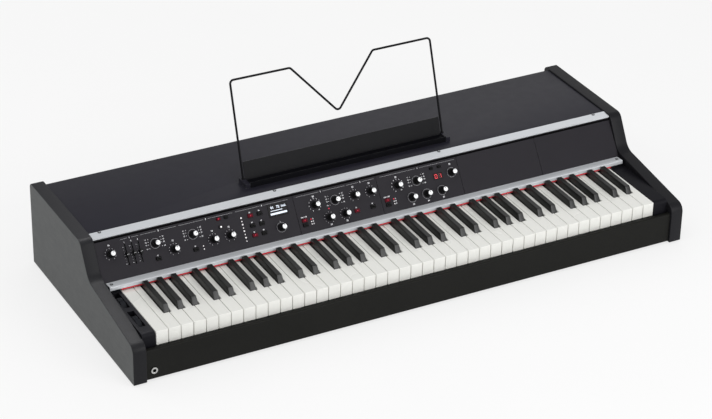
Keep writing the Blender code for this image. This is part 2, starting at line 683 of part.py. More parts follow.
def build_strips(finishes):
    """The two aluminium trim strips with their screws, and the felt behind the keys."""
    front, back = LOWER_STRIP_FRONT, LOWER_STRIP_BACK
    foot_top = SLOPE_FOOT.z - SHEET * math.cos(SLOPE_ANGLE) - FIT
    foot_bottom = foot_top - STRIP_THICK
    outline = rounded([(front, LIP_BOTTOM, 0), (front, LOWER_STRIP_FRONT_Z, LOWER_STRIP_ROUND),
                       (back, LOWER_STRIP_BACK_Z, 0), (back, foot_top, 0),
                       (back + LOWER_STRIP_TOE, foot_top, 0),
                       (back + LOWER_STRIP_TOE, foot_bottom, 0), (back - STRIP_THICK + FIT, foot_bottom, 0),
                       (back - STRIP_THICK + FIT, LOWER_STRIP_BACK_Z - STRIP_THICK, 0),
                       (front + STRIP_THICK, LOWER_STRIP_FRONT_Z - STRIP_THICK, 0),
                       (front + STRIP_THICK, LIP_BOTTOM, 0)], 2)
    bm = bmesh.new()
    add_prism(bm, outline, 0, -LOWER_STRIP_HALF, LOWER_STRIP_HALF)
    heads = screw_heads([lower_screw_place(side) for side in (-1, 1)])
    finish("lower_trim_strip", bm, finishes["aluminium"], joins=heads)

    front, back = UPPER_STRIP_FRONT, UPPER_STRIP_BACK
    web = (STRIP_WEB_Y, STRIP_WEB_Y + STRIP_THICK)
    outline = [(front, UPPER_STRIP_FRONT_Z - STRIP_THICK), (front, UPPER_STRIP_FRONT_Z),
               (back, UPPER_STRIP_BACK_Z), (back, UPPER_STRIP_BACK_Z - STRIP_THICK),
               (web[1], UPPER_STRIP_BACK_Z - STRIP_THICK - FIT), (web[1], STRIP_WEB_BOTTOM),
               (web[0], STRIP_WEB_BOTTOM), (web[0], UPPER_STRIP_BACK_Z - STRIP_THICK - 2 * FIT)]
    bm = bmesh.new()
    add_prism(bm, outline, 0, -INNER + FIT, INNER - FIT)
    heads = screw_heads([upper_screw_place(x) for x in UPPER_SCREW_X])
    finish("upper_trim_strip", bm, finishes["aluminium"], joins=heads)

    bm = bmesh.new()
    add_box(bm, (KEYS_LEFT, FELT_FRONT, FELT_BOTTOM), (KEYS_RIGHT, FELT_FRONT + FELT_DEPTH, LIP_BOTTOM - FIT))
    finish("key_felt", bm, finishes["felt"])


def spread_places(left, places):
    """Places that were measured on a panel, moved to fit that panel's width, as (along, up)."""
    spread = MAIN_SPREAD if left == PANEL_LEFT else MODULE_SPREAD
    return [(along * spread, up) for along, up in places]


def sized_buttons(left, large, small=()):
    """Every button of one panel as (along, up, width, height)."""
    return ([place + BUTTON for place in spread_places(left, large)]
            + [place + SMALL_BUTTON for place in spread_places(left, small)])


def panel_buttons():
    """The buttons of each panel that has them, with the left end of the panel and its web."""
    main = sized_buttons(PANEL_LEFT, MAIN_BUTTONS, MAIN_SMALL_BUTTONS)
    return {"main_panel_buttons": (PANEL_LEFT, main, MAIN_WEB),
            "module_1_buttons": (module_left(0), sized_buttons(module_left(0), MODULE_1_BUTTONS), MODULE_1_WEB),
            "module_2_buttons": (module_left(1), sized_buttons(module_left(1), MODULE_2_BUTTONS,
                                                               MODULE_2_SMALL_BUTTONS), MODULE_2_WEB)}


def panel_knobs():
    """Every knob as (name, left end of its panel, along, up)."""
    groups = ((PANEL_LEFT, MAIN_KNOBS), (module_left(0), MODULE_1_KNOBS), (module_left(1), MODULE_2_KNOBS))
    return [(name, left, *place) for left, knobs in groups
            for name, place in zip(knobs, spread_places(left, knobs.values()))]


def slider_places():
    """Frame at the middle of each slider's travel."""
    alongs = spread_places(PANEL_LEFT, [(along, SLIDER_MIDDLE) for along in SLIDERS.values()])
    return {name: slope_place(*place) for name, place in zip(SLIDERS, alongs)}


def display_places():
    """Each display as (left end of its panel, along, up, width, height)."""
    return {name: (left, *spread_places(left, [display[:2]])[0], *display[2:])
            for name, left, display in (("text_display", PANEL_LEFT, TEXT_DISPLAY),
                                        ("digit_display", module_left(1), DIGIT_DISPLAY))}


def cut_controls(cuts, left):
    """Holes for the shafts, buttons, slider stems and display in one panel."""
    for name, knob_left, along, up in panel_knobs():
        if knob_left == left:
            add_cylinder(cuts, SHAFT_HOLE, -2 * SHEET, SHEET, slope_place(along, up, left), 10)
    buttons = [button for panel_left, row, web in panel_buttons().values()
               if panel_left == left for button in row]
    for along, up, width, height in buttons:
        half = (width / 2 + PLAY, height / 2 + PLAY)
        add_box(cuts, (-half[0], -half[1], -2 * SHEET), (half[0], half[1], SHEET), slope_place(along, up, left))


    if left == PANEL_LEFT:
        half = SLOT_LENGTH / 2
        for place in slider_places().values():
            add_box(cuts, (-SLOT_WIDTH / 2, -half, -2 * SHEET), (SLOT_WIDTH / 2, half, SHEET), place)
    for display_left, along, up, width, height in display_places().values():
        if display_left == left:
            half = (width / 2 + FIT, height / 2 + FIT)
            add_box(cuts, (-half[0], -half[1], -2 * SHEET), (half[0], half[1], SHEET),
                    slope_place(along, up, left))


def build_panels(finishes):
    """Main control panel, two control modules and two blank modules."""
    names = ("control_module_1", "control_module_2", "blank_module_1", "blank_module_2")
    spans = {"main_control_panel": (PANEL_LEFT, PANEL_LEFT + FIT, MODULES_LEFT - SEAM / 2)}
    for number, name in enumerate(names):
        left, right = module_left(number), module_left(number + 1)
        spans[name] = (left, left + SEAM / 2, min(right - SEAM / 2, INNER - FIT))
    for name, (left, low, high) in spans.items():
        bm = bmesh.new()
        add_box(bm, (low, 0, -SHEET), (high, SLOPE_LENGTH, 0), slope_place(0, 0, 0))
        cuts = None
        if not name.startswith("blank"):
            cuts = bmesh.new()
            cut_controls(cuts, left)
        finish(name, bm, finishes["panel"], cuts=cuts)


def build_knobs(finishes):
    """Turned knobs on their shafts."""
    profile = [(0, -SHAFT_DEPTH), (SHAFT_RADIUS, -SHAFT_DEPTH), (SHAFT_RADIUS, KNOB_LIFT),
               (KNOB_RADIUS, KNOB_LIFT), (KNOB_TOP_RADIUS, KNOB_HEIGHT), (0, KNOB_HEIGHT)]
    for name, left, along, up in panel_knobs():
        place = slope_place(along, up, left)
        bm = bmesh.new()
        add_turned(bm, profile, place, 14)
        finish(name, bm, finishes["knob"], pivot=place.translation, smooth=True)


def build_sliders(finishes):
    """Slider caps with a finger groove, each on a stem."""
    width, length, height = SLIDER_CAP
    top, groove = SLIDER_LIFT + height, SLIDER_LIFT + height - SLIDER_DISH
    outline = [(-length / 2, SLIDER_LIFT), (length / 2, SLIDER_LIFT), (length / 2 - SLIDER_TAPER, top),
               (SLIDER_TAPER, groove), (-SLIDER_TAPER, groove), (-length / 2 + SLIDER_TAPER, top)]
    for name, place in slider_places().items():
        bm = bmesh.new()
        add_prism(bm, outline, 0, -width / 2, width / 2, place)
        joins = bmesh.new()
        add_box(joins, (-SLIDER_STEM[0] / 2, -SLIDER_STEM[1] / 2, -SHAFT_DEPTH),
                (SLIDER_STEM[0] / 2, SLIDER_STEM[1] / 2, height / 2), place)
        finish(name, bm, finishes["knob"], pivot=place.translation, joins=joins)


def build_buttons(finishes):
    """Button caps, moulded on one web behind each panel."""
    for name, (left, buttons, web) in panel_buttons().items():
        bm, joins = bmesh.new(), bmesh.new()
        for along, up, width, height in buttons:
            add_box(bm, (-width / 2, -height / 2, -BUTTON_DEPTH), (width / 2, height / 2, BUTTON_RISE),
                    slope_place(along, up, left))
        half = WEB_BAR / 2
        for ends in web:
            start, end = spread_places(left, ends)
            add_box(joins, (start[0] - half, start[1] - half, -WEB_DEPTH),
                    (end[0] + half, end[1] + half, -WEB_DEPTH + WEB_THICK), slope_place(0, 0, left))
        finish(name, bm, finishes["button"], pivot=slope_place(0, 0, left).translation, joins=joins)


def build_displays(finishes):
    """A pane in each display window."""
    for name, (left, along, up, width, height) in display_places().items():
        bm = bmesh.new()
        add_box(bm, (-width / 2, -height / 2, -DISPLAY_DEPTH), (width / 2, height / 2, DISPLAY_RISE),
                slope_place(along, up, left))
        finish(name, bm, finishes["display"])


def build_electronics(finishes):
    """Control board with its potentiometers, slider tracks and stand-offs."""
    top = -CONTROL_BOARD_DEPTH
    part_top = -SHAFT_DEPTH - FIT
    part_bottom = top - SINK
    low, high = PANEL_LEFT + CONTROL_BOARD_INSET, module_left(2) - CONTROL_BOARD_INSET
    bm, joins = bmesh.new(), bmesh.new()
    add_box(bm, (low, CONTROL_BOARD_LOW, top - CIRCUIT_SHEET), (high, CONTROL_BOARD_HIGH, top),
            slope_place(0, 0, 0))
    for x in (low + STANDOFF_INSET, MODULES_LEFT - STANDOFF_INSET, high - STANDOFF_INSET):
        for up in (CONTROL_BOARD_LOW + STANDOFF_INSET, CONTROL_BOARD_HIGH - STANDOFF_INSET):
            add_cylinder(joins, STANDOFF_RADIUS, part_bottom, -SHEET - FIT, slope_place(x, up, 0), 6)
    half = POT_SIZE / 2
    for name, left, along, up in panel_knobs():
        add_box(joins, (-half, -half, part_bottom), (half, half, part_top), slope_place(along, up, left))
    half = SLOT_LENGTH / 2 + TRACK_WIDTH / 2
    for place in slider_places().values():
        add_box(joins, (-TRACK_WIDTH / 2, -half, part_bottom), (TRACK_WIDTH / 2, half, part_top), place)
    finish("control_circuit_board", bm, finishes["circuit"], joins=joins)


def white_keys():
    """White keys as (number, note index from C, left edge)."""
    return [(i, (i + FIRST_NOTE) % 7, KEYS_LEFT + i * KEY_PITCH) for i in range(WHITE_COUNT)]


def black_centres():
    """Middle of each black key, set off from the gap between its white neighbours."""
    return [left + KEY_PITCH + BLACK_SHIFT[note] for i, note, left in white_keys()
            if note in BLACK_SHIFT and i < WHITE_COUNT - 1]


def tail_outline(top, name):
    """Rear end of a key's side outline, from its top to its bottom, with the tongue that meets the rail."""
    rail_top = COMB_RAIL_TOPS[name]
    high, low = rail_top - COMB_TONGUE_INSET, rail_top - COMB_RAIL_HEIGHT + COMB_TONGUE_INSET
    tip = COMB_RAIL_Y + COMB_RAIL_DEPTH / 2
    return [(KEY_BACK, top), (KEY_BACK, high), (tip, high), (tip, low), (KEY_BACK, low), (KEY_BACK, KEY_BOTTOM)]


def comb_rail(name):
    """The rail that joins one set of keys behind their tails."""
    top = COMB_RAIL_TOPS[name]
    bm = bmesh.new()
    add_box(bm, (KEYS_LEFT + KEY_PITCH / 2, COMB_RAIL_Y, top - COMB_RAIL_HEIGHT),
            (KEYS_RIGHT - KEY_PITCH / 2, COMB_RAIL_Y + COMB_RAIL_DEPTH, top))
    return bm


def build_keys(finishes):
    """White keys in two sets, so that neighbours move apart, and the black keys."""
    pivot = (0, KEY_PIVOT_Y, KEY_PIVOT_Z)
    blacks = black_centres()
    face_bottom = KEY_TOP - KEY_FACE
    face_back = KEY_FRONT + KEY_FACE_THICK
    reach = BLACK_HALF + KEY_GAP
    for name, odd in (("white_keys_a", 0), ("white_keys_b", 1)):
        outline = [(KEY_FRONT, face_bottom), (KEY_FRONT, KEY_TOP)] + tail_outline(KEY_TOP, name)
        outline += [(face_back, KEY_BOTTOM), (face_back, face_bottom)]
        bm, cuts = bmesh.new(), bmesh.new()
        for i, note, left in white_keys():
            if i % 2 == odd:
                add_prism(bm, outline, 0, left + KEY_GAP / 2, left + KEY_PITCH - KEY_GAP / 2)
        for centre in blacks:
            add_box(cuts, (centre - reach, BLACK_FRONT - KEY_GAP, face_bottom),
                    (centre + reach, COMB_RAIL_Y + COMB_RAIL_DEPTH, KEY_TOP + KEY_GAP))
        finish(name, bm, finishes["white_key"], pivot=pivot, cuts=cuts, late_joins=comb_rail(name))

    stick_top = KEY_TOP - STICK_DROP
    stick_front = BLACK_FRONT + STICK_DROP
    outline = [(stick_front, KEY_BOTTOM), (stick_front, stick_top)] + tail_outline(stick_top, "black_keys")
    bm, joins = bmesh.new(), comb_rail("black_keys")
    for centre in blacks:
        add_prism(bm, outline, 0, centre - STICK_HALF, centre + STICK_HALF)
        add_black_cap(joins, centre)
    finish("black_keys", bm, finishes["black_key"], pivot=pivot, joins=joins)


def add_black_cap(bm, centre):
    """The raised part of a black key: narrower at the top, with a sloping front."""
    low, high = KEY_TOP - BLACK_BASE, KEY_TOP + BLACK_RISE
    base = [(centre - BLACK_HALF, BLACK_FRONT), (centre + BLACK_HALF, BLACK_FRONT),
            (centre + BLACK_HALF, BLACK_BACK), (centre - BLACK_HALF, BLACK_BACK)]
    top = [(centre - BLACK_TOP_HALF, BLACK_FRONT + BLACK_FRONT_SLOPE),
           (centre + BLACK_TOP_HALF, BLACK_FRONT + BLACK_FRONT_SLOPE),
           (centre + BLACK_TOP_HALF, BLACK_BACK), (centre - BLACK_TOP_HALF, BLACK_BACK)]
    lower = [bm.verts.new((x, y, low)) for x, y in base]
    upper = [bm.verts.new((x, y, high)) for x, y in top]
    faces = [bm.faces.new(reversed(lower)), bm.faces.new(upper)]
    faces += [bm.faces.new((lower[i], lower[(i + 1) % 4], upper[(i + 1) % 4], upper[i])) for i in range(4)]
    bmesh.ops.recalc_face_normals(bm, faces=faces)


def build_key_frame(finishes):
    """One bent frame: two stop rails under the keys' fronts and the rail they rock on."""
    outline = [(FRAME_FRONT, FRAME_BOTTOM), (FRAME_BACK, FRAME_BOTTOM), (FRAME_BACK, FRAME_TOP)]
    outline += [(KEY_PIVOT_Y + WALL_HALF, FRAME_TOP)]
    outline += arc((KEY_PIVOT_Y, KEY_PIVOT_Z), PIVOT_RADIUS, -50, 230, 10)
    outline += [(KEY_PIVOT_Y - WALL_HALF, FRAME_TOP)]
    outline += stop_wall(BLACK_STOP_Y) + stop_wall(WHITE_STOP_Y)
    outline += [(FRAME_FRONT, FRAME_TOP)]
    bm = bmesh.new()
    add_prism(bm, outline, 0, KEYS_LEFT, KEYS_RIGHT)
    finish("key_frame", bm, finishes["steel"])


def stop_wall(y):
    """A wall just below the keys' undersides at full dip, walked from its back to its front."""
    lever, drop = KEY_PIVOT_Y - y + WALL_HALF, math.radians(KEY_DIP_DEG)
    top = KEY_PIVOT_Z - lever * math.sin(drop) + (KEY_BOTTOM - KEY_PIVOT_Z) * math.cos(drop) - FIT
    return [(y + WALL_HALF, FRAME_TOP), (y + WALL_HALF, top), (y - WALL_HALF, top), (y - WALL_HALF, FRAME_TOP)]


def stand_point(x, up):
    """A point on the music stand's leaning plane."""
    return Vector((STAND_X + x, STAND_Y + up * math.sin(STAND_LEAN), COVER_TOP + up * math.cos(STAND_LEAN)))


def wire_route():
    """Middle line of the bent wire: straight runs with an arc at each bend."""
    right = [WIRE_DIP, WIRE_PEAK, WIRE_SHOULDER, WIRE_FOOT]
    corners = [(-x, up) for x, up in reversed(right[1:])] + right
    route = [corners[0]]
    for last, here, after in zip(corners, corners[1:], corners[2:]):
        here = Vector(here)
        to_last = (Vector(last) - here).normalized()
        to_next = (Vector(after) - here).normalized()
        half = to_last.angle(to_next) / 2
        centre = here + (to_last + to_next).normalized() * WIRE_BEND / math.sin(half)
        first = here + to_last * WIRE_BEND / math.tan(half) - centre
        turn = first.angle_signed(here + to_next * WIRE_BEND / math.tan(half) - centre)
        for k in range(5):
            spoke = first.copy()
            spoke.rotate(Matrix.Rotation(-turn * k / 4, 2))
            route.append(tuple(centre + spoke))
    return [stand_point(*point) for point in route + [corners[-1]]]


def build_music_stand(finishes):
    """Bent wire frame and sheet tray that lift off together."""
    curve = bpy.data.curves.new("music_stand_wire", "CURVE")
    curve.dimensions = "3D"
    curve.bevel_depth = WIRE_RADIUS
    curve.bevel_resolution = 2
    curve.use_fill_caps = True
    curve.materials.append(finishes["wire"])
    pivot = stand_point(0, 0)
    route = [point - pivot for point in wire_route()]
    spline = curve.splines.new("POLY")
    spline.points.add(len(route) - 1)
    for knot, point in zip(spline.points, route):
        knot.co = (*point, 1.0)
    wire = bpy.data.objects.new("music_stand_wire", curve)
    bpy.context.scene.collection.objects.link(wire)
    wire.location = pivot
    wire.parent = CASE

    lean = (math.sin(STAND_LEAN), math.cos(STAND_LEAN))
    half = TRAY_SHEET / 2
    shelf = (TRAY_SHELF_Z, TRAY_SHELF_Z + TRAY_SHEET)
    foot_y = STAND_Y + (TRAY_SHELF_Z - COVER_TOP) * math.tan(STAND_LEAN)
    tip = (STAND_Y + TRAY_BACK_HEIGHT * lean[0], COVER_TOP + TRAY_BACK_HEIGHT * lean[1])
    corner_y = foot_y + TRAY_SHEET * math.tan(STAND_LEAN) - half / lean[1]
    outline = [(TRAY_LIP_Y, COVER_TOP + FIT), (TRAY_LIP_Y, TRAY_LIP_TOP),
               (TRAY_LIP_Y + TRAY_SHEET, TRAY_LIP_TOP), (TRAY_LIP_Y + TRAY_SHEET, shelf[1]),
               (corner_y, shelf[1]), (tip[0] - half * lean[1], tip[1] + half * lean[0]),
               (tip[0] + half * lean[1], tip[1] - half * lean[0]), (foot_y + half / lean[1], shelf[0]),
               (TRAY_LIP_Y + TRAY_SHEET, shelf[0]), (TRAY_LIP_Y + TRAY_SHEET, COVER_TOP + FIT)]
    bm = bmesh.new()
    add_prism(bm, outline, 0, STAND_X - TRAY_HALF, STAND_X + TRAY_HALF)
    finish("music_stand_tray", bm, finishes["wire"], pivot=pivot)


def build_headphone_jack(finishes):
    """A turned jack with a blind bore, whose flange lies on the front rail."""
    face = JACK_FLANGE_THICK + FIT
    profile = [(0, -JACK_DEPTH - JACK_WALL), (JACK_BARREL, -JACK_DEPTH - JACK_WALL), (JACK_BARREL, FIT),
               (JACK_FLANGE, FIT), (JACK_FLANGE, face), (JACK_BORE, face), (JACK_BORE, -JACK_DEPTH),
               (0, -JACK_DEPTH)]
    bm = bmesh.new()
    add_turned(bm, profile, front_place(HEADPHONE_X, HEADPHONE_Z, RAIL_SETBACK))
    finish("headphone_jack", bm, finishes["steel"], smooth=True)


def build_rear(finishes):
    """Rear plate, the board with the rear sockets, and the power switch's rocker."""
    housings = {USB_X: (USB_OUTER, USB_HOLE), INLET_X: (INLET_OUTER, INLET_HOLE),
                SWITCH_X: (SWITCH_OUTER, SWITCH_HOLE)}
    bm, cuts = bmesh.new(), bmesh.new()
    add_box(bm, (REAR_PLATE_X[0], REAR_PLATE_Y, REAR_PLATE_Z[0]),
            (REAR_PLATE_X[1], REAR_OUTER, REAR_PLATE_Z[1]))
    for x in REAR_JACK_X:
        add_cylinder(cuts, JACK_BARREL + FIT, -JACK_DEPTH, JACK_DEPTH, back_place(x, REAR_SOCKET_Z, REAR_OUTER))
    for x, (outer, hole) in housings.items():
        add_rear_box(cuts, x, outer, REAR_PLATE_Y - SOCKET_DEPTH, REAR_OUTER + SOCKET_DEPTH, FIT)
    finish("rear_plate", bm, finishes["satin_black"], cuts=cuts, joins=screw_heads(rear_screw_places()))

    mouth = REAR_OUTER + SOCKET_RIM
    floor = mouth - SOCKET_DEPTH
    (x0, x1), top = SOCKET_BOARD_X, SOCKET_BOARD_Z + CIRCUIT_SHEET
    y0, y1 = SOCKET_BOARD_FRONT, BACK_BOARD_Y - FIT
    bm, joins, cuts = bmesh.new(), bmesh.new(), bmesh.new()
    add_box(bm, (x0, y0, SOCKET_BOARD_Z), (x1, y1, top))
    for x in (x0 + PILLAR_INSET, x1 - PILLAR_INSET):
        for y in (y0 + PILLAR_INSET, y1 - PILLAR_INSET):
            add_cylinder(joins, PILLAR_RADIUS, BOARD_TOP + FIT, top - SINK, Matrix.Translation((x, y, 0)), 6)
    low, high = ((REAR_LEFT + along, COVER_BACK - reach) for along, reach in zip(SUPPLY_ALONG, SUPPLY_REACH))
    add_box(joins, (*low, top - SINK), (*high, top + SUPPLY_HEIGHT))
    for x in REAR_JACK_X:
        place = back_place(x, REAR_SOCKET_Z, REAR_OUTER)
        add_box(joins, (x - REAR_JACK_BOX, REAR_OUTER - JACK_DEPTH - JACK_WALL, top - SINK),
                (x + REAR_JACK_BOX, REAR_PLATE_Y - FIT, REAR_SOCKET_Z + REAR_JACK_BOX))
        face = JACK_FLANGE_THICK + FIT
        profile = [(0, -REAR_JACK_ROOT), (JACK_BARREL, -REAR_JACK_ROOT), (JACK_BARREL, FIT), (JACK_FLANGE, FIT),
                   (JACK_FLANGE, face), (0, face)]
        add_turned(joins, profile, place)
        add_cylinder(cuts, JACK_BORE, -JACK_DEPTH, 2 * face, place)
    for x, (outer, hole) in housings.items():
        add_rear_box(joins, x, outer, floor, mouth)
        add_rear_box(cuts, x, hole, floor + INLET_WALL, mouth + SOCKET_RIM)
        half = outer[0] / 2 - SINK
        add_box(joins, (x - half, floor + SINK, top - SINK), (x + half, REAR_PLATE_Y - FIT, REAR_SOCKET_Z))
    pins = bmesh.new()
    for shift in INLET_PIN_X:
        add_rear_box(pins, INLET_X + shift, INLET_PIN, floor + INLET_WALL / 2, mouth - INLET_PIN_SHORT)
    finish("rear_socket_board", bm, finishes["circuit"], cuts=cuts, joins=joins, late_joins=pins)

    pivot = (SWITCH_X, ROCKER_Y, REAR_SOCKET_Z)
    outline = arc((0, 0), ROCKER_RADIUS, 180, 360, 8) + [(ROCKER_RADIUS, ROCKER_PROUD), (0, ROCKER_PROUD / 2),
                                                         (-ROCKER_RADIUS, ROCKER_PROUD)]
    bm = bmesh.new()
    tilt = back_place(SWITCH_X, REAR_SOCKET_Z, ROCKER_Y) @ Matrix.Rotation(ROCKER_TILT, 4, "X")
    add_prism(bm, outline, 0, -ROCKER_HALF, ROCKER_HALF, tilt)
    finish("power_switch", bm, finishes["button"], pivot=pivot)


def add_rear_box(bm, x, size, low_y, high_y, grow=0.0):
    """A box square to the back, centred on the row of rear sockets."""
    half_x, half_z = size[0] / 2 + grow, size[1] / 2 + grow
    add_box(bm, (x - half_x, low_y, REAR_SOCKET_Z - half_z), (x + half_x, high_y, REAR_SOCKET_Z + half_z))


def build_feet(finishes):
    """Four rubber feet under the bottom board."""
    for end, y in FOOT_Y.items():
        for side, x in (("left", -FOOT_X), ("right", FOOT_X)):
            bm = bmesh.new()
            add_cylinder(bm, FOOT_RADIUS, -FOOT_DROP, BOARD_BOTTOM - FIT, Matrix.Translation((x, y, 0)), 16)
            finish(f"{end}_{side}_foot", bm, finishes["rubber"], smooth=True)


def make_finishes():
    """Every surface of the object."""
    return {
        "satin_black": make_material("satin_black", (34, 34, 37), 0.38),
        "panel": make_material("panel_paint", (40, 39, 42), 0.45, 0.2),
        "board": make_material("black_board", (38, 36, 35), 0.7),
        "aluminium": make_material("brushed_aluminium", (205, 207, 210), 0.32, 1.0),
        "white_key": make_material("white_key_plastic", (228, 229, 223), 0.25),
        "black_key": make_material("black_key_plastic", (28, 29, 29), 0.45),
        "felt": make_material("red_felt", (150, 20, 40), 0.95),
        "knob": make_material("knob_plastic", (24, 24, 26), 0.4),
        "button": make_material("button_plastic", (32, 32, 35), 0.45),
        "wheel": make_material("wheel_rubber", (28, 30, 36), 0.6),
        "display": make_material("display_glass", (45, 12, 14), 0.15),
        "steel": make_material("zinc_steel", (165, 167, 170), 0.4, 1.0),
        "wire": make_material("black_wire", (22, 22, 24), 0.35, 0.3),
        "circuit": make_material("circuit_board", (20, 70, 40), 0.6),
        "rubber": make_material("foot_rubber", (20, 20, 20), 0.85),
    }


for old_object in list(bpy.data.objects):
    bpy.data.objects.remove(old_object)

CASE = bpy.data.objects.new("case_frame", None)
CASE.location = (0, -DEPTH / 2, FOOT_DROP)
bpy.context.scene.collection.objects.link(CASE)

FINISHES = make_finishes()
build_case(FINISHES)
build_blocks(FINISHES)
build_strips(FINISHES)
build_panels(FINISHES)
build_knobs(FINISHES)
build_sliders(FINISHES)
build_buttons(FINISHES)
build_displays(FINISHES)
build_electronics(FINISHES)
build_keys(FINISHES)
build_key_frame(FINISHES)
build_music_stand(FINISHES)
build_headphone_jack(FINISHES)
build_rear(FINISHES)
build_feet(FINISHES)
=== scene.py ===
"""Looks of the stage piano: its finishes, its finer pieces, a soft studio and the camera."""
import logging
import math
from dataclasses import dataclass, field, replace
from enum import Enum
from typing import Any, Iterable, Sequence

import bmesh
import bpy
import numpy as np
from mathutils import Matrix, Vector


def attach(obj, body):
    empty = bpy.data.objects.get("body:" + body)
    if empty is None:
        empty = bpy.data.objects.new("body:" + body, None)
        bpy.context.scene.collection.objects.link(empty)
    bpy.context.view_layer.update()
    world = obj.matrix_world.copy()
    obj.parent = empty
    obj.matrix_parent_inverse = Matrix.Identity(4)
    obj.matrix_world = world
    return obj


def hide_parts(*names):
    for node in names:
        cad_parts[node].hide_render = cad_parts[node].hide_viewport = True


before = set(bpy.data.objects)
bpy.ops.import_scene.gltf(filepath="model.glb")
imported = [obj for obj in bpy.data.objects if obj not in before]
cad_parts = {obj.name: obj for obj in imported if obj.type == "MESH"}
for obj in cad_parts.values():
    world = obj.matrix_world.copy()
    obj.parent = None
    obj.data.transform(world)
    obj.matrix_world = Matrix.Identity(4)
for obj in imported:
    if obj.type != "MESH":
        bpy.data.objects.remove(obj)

LOG = logging.getLogger("stage_piano")

# Sizes are metres in the case frame: x = 0 in the middle, y = 0 at the front, z = 0 under the cheeks
CASE_SHIFT = np.array((0.0, -0.231, 0.003))
SLOPE = math.radians(55.6)
SLOPE_FOOT = (0.0, 0.1845, 0.0950)
INNER = 0.533
PANEL_LEFTS = {"main": -INNER, "module_1": -0.147, "module_2": 0.023}
KEY_TOP = 0.0847
KEY_PITCH = 0.0235
KEYS_LEFT = -0.5075
INK_RISE = 0.00006
GLASS_RISE = 0.00042
WORN_TONE = (0.42, 0.42, 0.43, 1.0)
# Brownish tone of grime and painted shade low on the white keys' sides
GRIME_AND_SHADE_TONE = (0.42, 0.38, 0.31, 1.0)
TRACK_TONE = (0.10, 0.22, 0.07, 1.0)
HOUSING_RGB = (24, 24, 26)

Array = np.ndarray
Socket = bpy.types.NodeSocket
Pair = tuple[float, float]
Triple = tuple[float, float, float]


class Slot(Enum):
    """Material slots of the record, one passed with each new piece."""

    CHEEK = "side_plastic"
    PANEL = "panel_paint"
    METAL = "brushed_aluminium"
    WHITE_KEY = "white_key_plastic"
    BLACK_KEY = "black_key_plastic"
    FELT = "red_felt"
    KNOB = "knob_plastic"
    BUTTON = "button_plastic"
    WHEEL = "wheel_rubber"
    DISPLAY = "display_glass"
    WIRE = "black_wire"
    STEEL = "zinc_steel"
    FOOT = "foot_rubber"


class Tick(Enum):
    """Kinds of scale that are printed round a knob."""

    DOTS = "dots"
    NUMBERS = "numbers"
    RING = "ring"
    CHOICES = "choices"


# Finishes


def linear(rgb: Sequence[float]) -> tuple[float, ...]:
    """Display colours from 0 to 255 as the values that a shader takes."""
    values = np.asarray(rgb, float) / 255
    return tuple(np.where(values <= 0.04045, values / 12.92, ((values + 0.055) / 1.055) ** 2.4).tolist())


class Graph:
    """Adds and joins the nodes of one material."""

    def __init__(self, name: str) -> None:
        """Start an empty material with that name."""
        self.material = bpy.data.materials.new(name)
        self.material.use_nodes = True
        self.nodes = self.material.node_tree.nodes
        self.links = self.material.node_tree.links
        self.nodes.clear()
        self.surface = self.add("ShaderNodeOutputMaterial")

    def add(self, kind: str, settings: dict[str, Any] | None = None, **inputs: Any) -> bpy.types.Node:
        """Add a node, set its properties, and set or join its inputs.

        Args:
            kind: Blender's name for the node.
            settings: Values of the node's own properties.
            inputs: Values or sockets, named as the node's inputs with _ for a space, or i0, i1 by number.

        Returns:
            The new node.
        """
        node = self.nodes.new(kind)
        for key, value in (settings or {}).items():
            setattr(node, key, value)
        for key, value in inputs.items():
            by_number = key[0] == "i" and key[1:].isdigit()
            socket = node.inputs[int(key[1:])] if by_number else node.inputs[key.replace("_", " ")]
            if isinstance(value, Socket):
                self.links.new(value, socket)
            else:
                socket.default_value = value
        return node

    def coords(self, scale: Triple = (1.0, 1.0, 1.0), centre: Triple = (0.0, 0.0, 0.0)) -> Socket:
        """Object coordinates, stretched by a scale for each axis, about a centre."""
        shift = tuple(-c * s for c, s in zip(centre, scale))
        source = self.add("ShaderNodeTexCoord").outputs["Object"]
        return self.add("ShaderNodeMapping", Vector=source, Location=shift, Scale=scale).outputs[0]

    def noise(self, scale: float, detail: float = 3.0, vector: Socket | None = None) -> Socket:
        """Soft noise with that many cells to the metre."""
        place = self.coords() if vector is None else vector
        return self.add("ShaderNodeTexNoise", Vector=place, Scale=scale, Detail=detail).outputs[0]

    def span(self, value: Socket, low: float, high: float, start: float = 0.0, end: float = 1.0) -> Socket:
        """The value carried from one span to another and held inside it."""
        return self.add("ShaderNodeMapRange", i0=value, i1=low, i2=high, i3=start, i4=end).outputs[0]

    def math(self, operation: str, first: Any, second: Any = 0.0) -> Socket:
        """One step of arithmetic."""
        return self.add("ShaderNodeMath", {"operation": operation}, i0=first, i1=second).outputs[0]

    def mix(self, share: Any, first: Any, second: Any) -> Socket:
        """Two colours mixed by a share."""
        node = self.add("ShaderNodeMix", {"data_type": "RGBA"}, i0=share, i6=first, i7=second)
        return node.outputs[2]

    def edge(self, radius: float) -> Socket:
        """A mask that is 1 along convex and concave edges, from how a rounded normal leaves the true one."""
        rounded = self.add("ShaderNodeBevel", {"samples": 4}, Radius=radius).outputs[0]
        true = self.add("ShaderNodeNewGeometry").outputs["Normal"]
        node = self.add("ShaderNodeVectorMath", {"operation": "DOT_PRODUCT"}, i0=rounded, i1=true)
        return self.span(node.outputs["Value"], 0.995, 0.86)

    def bump(self, height: Socket, depth: float, radius: float = 0.0) -> Socket:
        """A normal that follows a height pattern of that depth in metres, over edges rounded by a radius."""
        node = self.add("ShaderNodeBump", Height=height, Distance=depth, Strength=1.0)
        if radius:
            self.links.new(self.add("ShaderNodeBevel", {"samples": 4}, Radius=radius).outputs[0],
                           node.inputs["Normal"])
        return node.outputs[0]


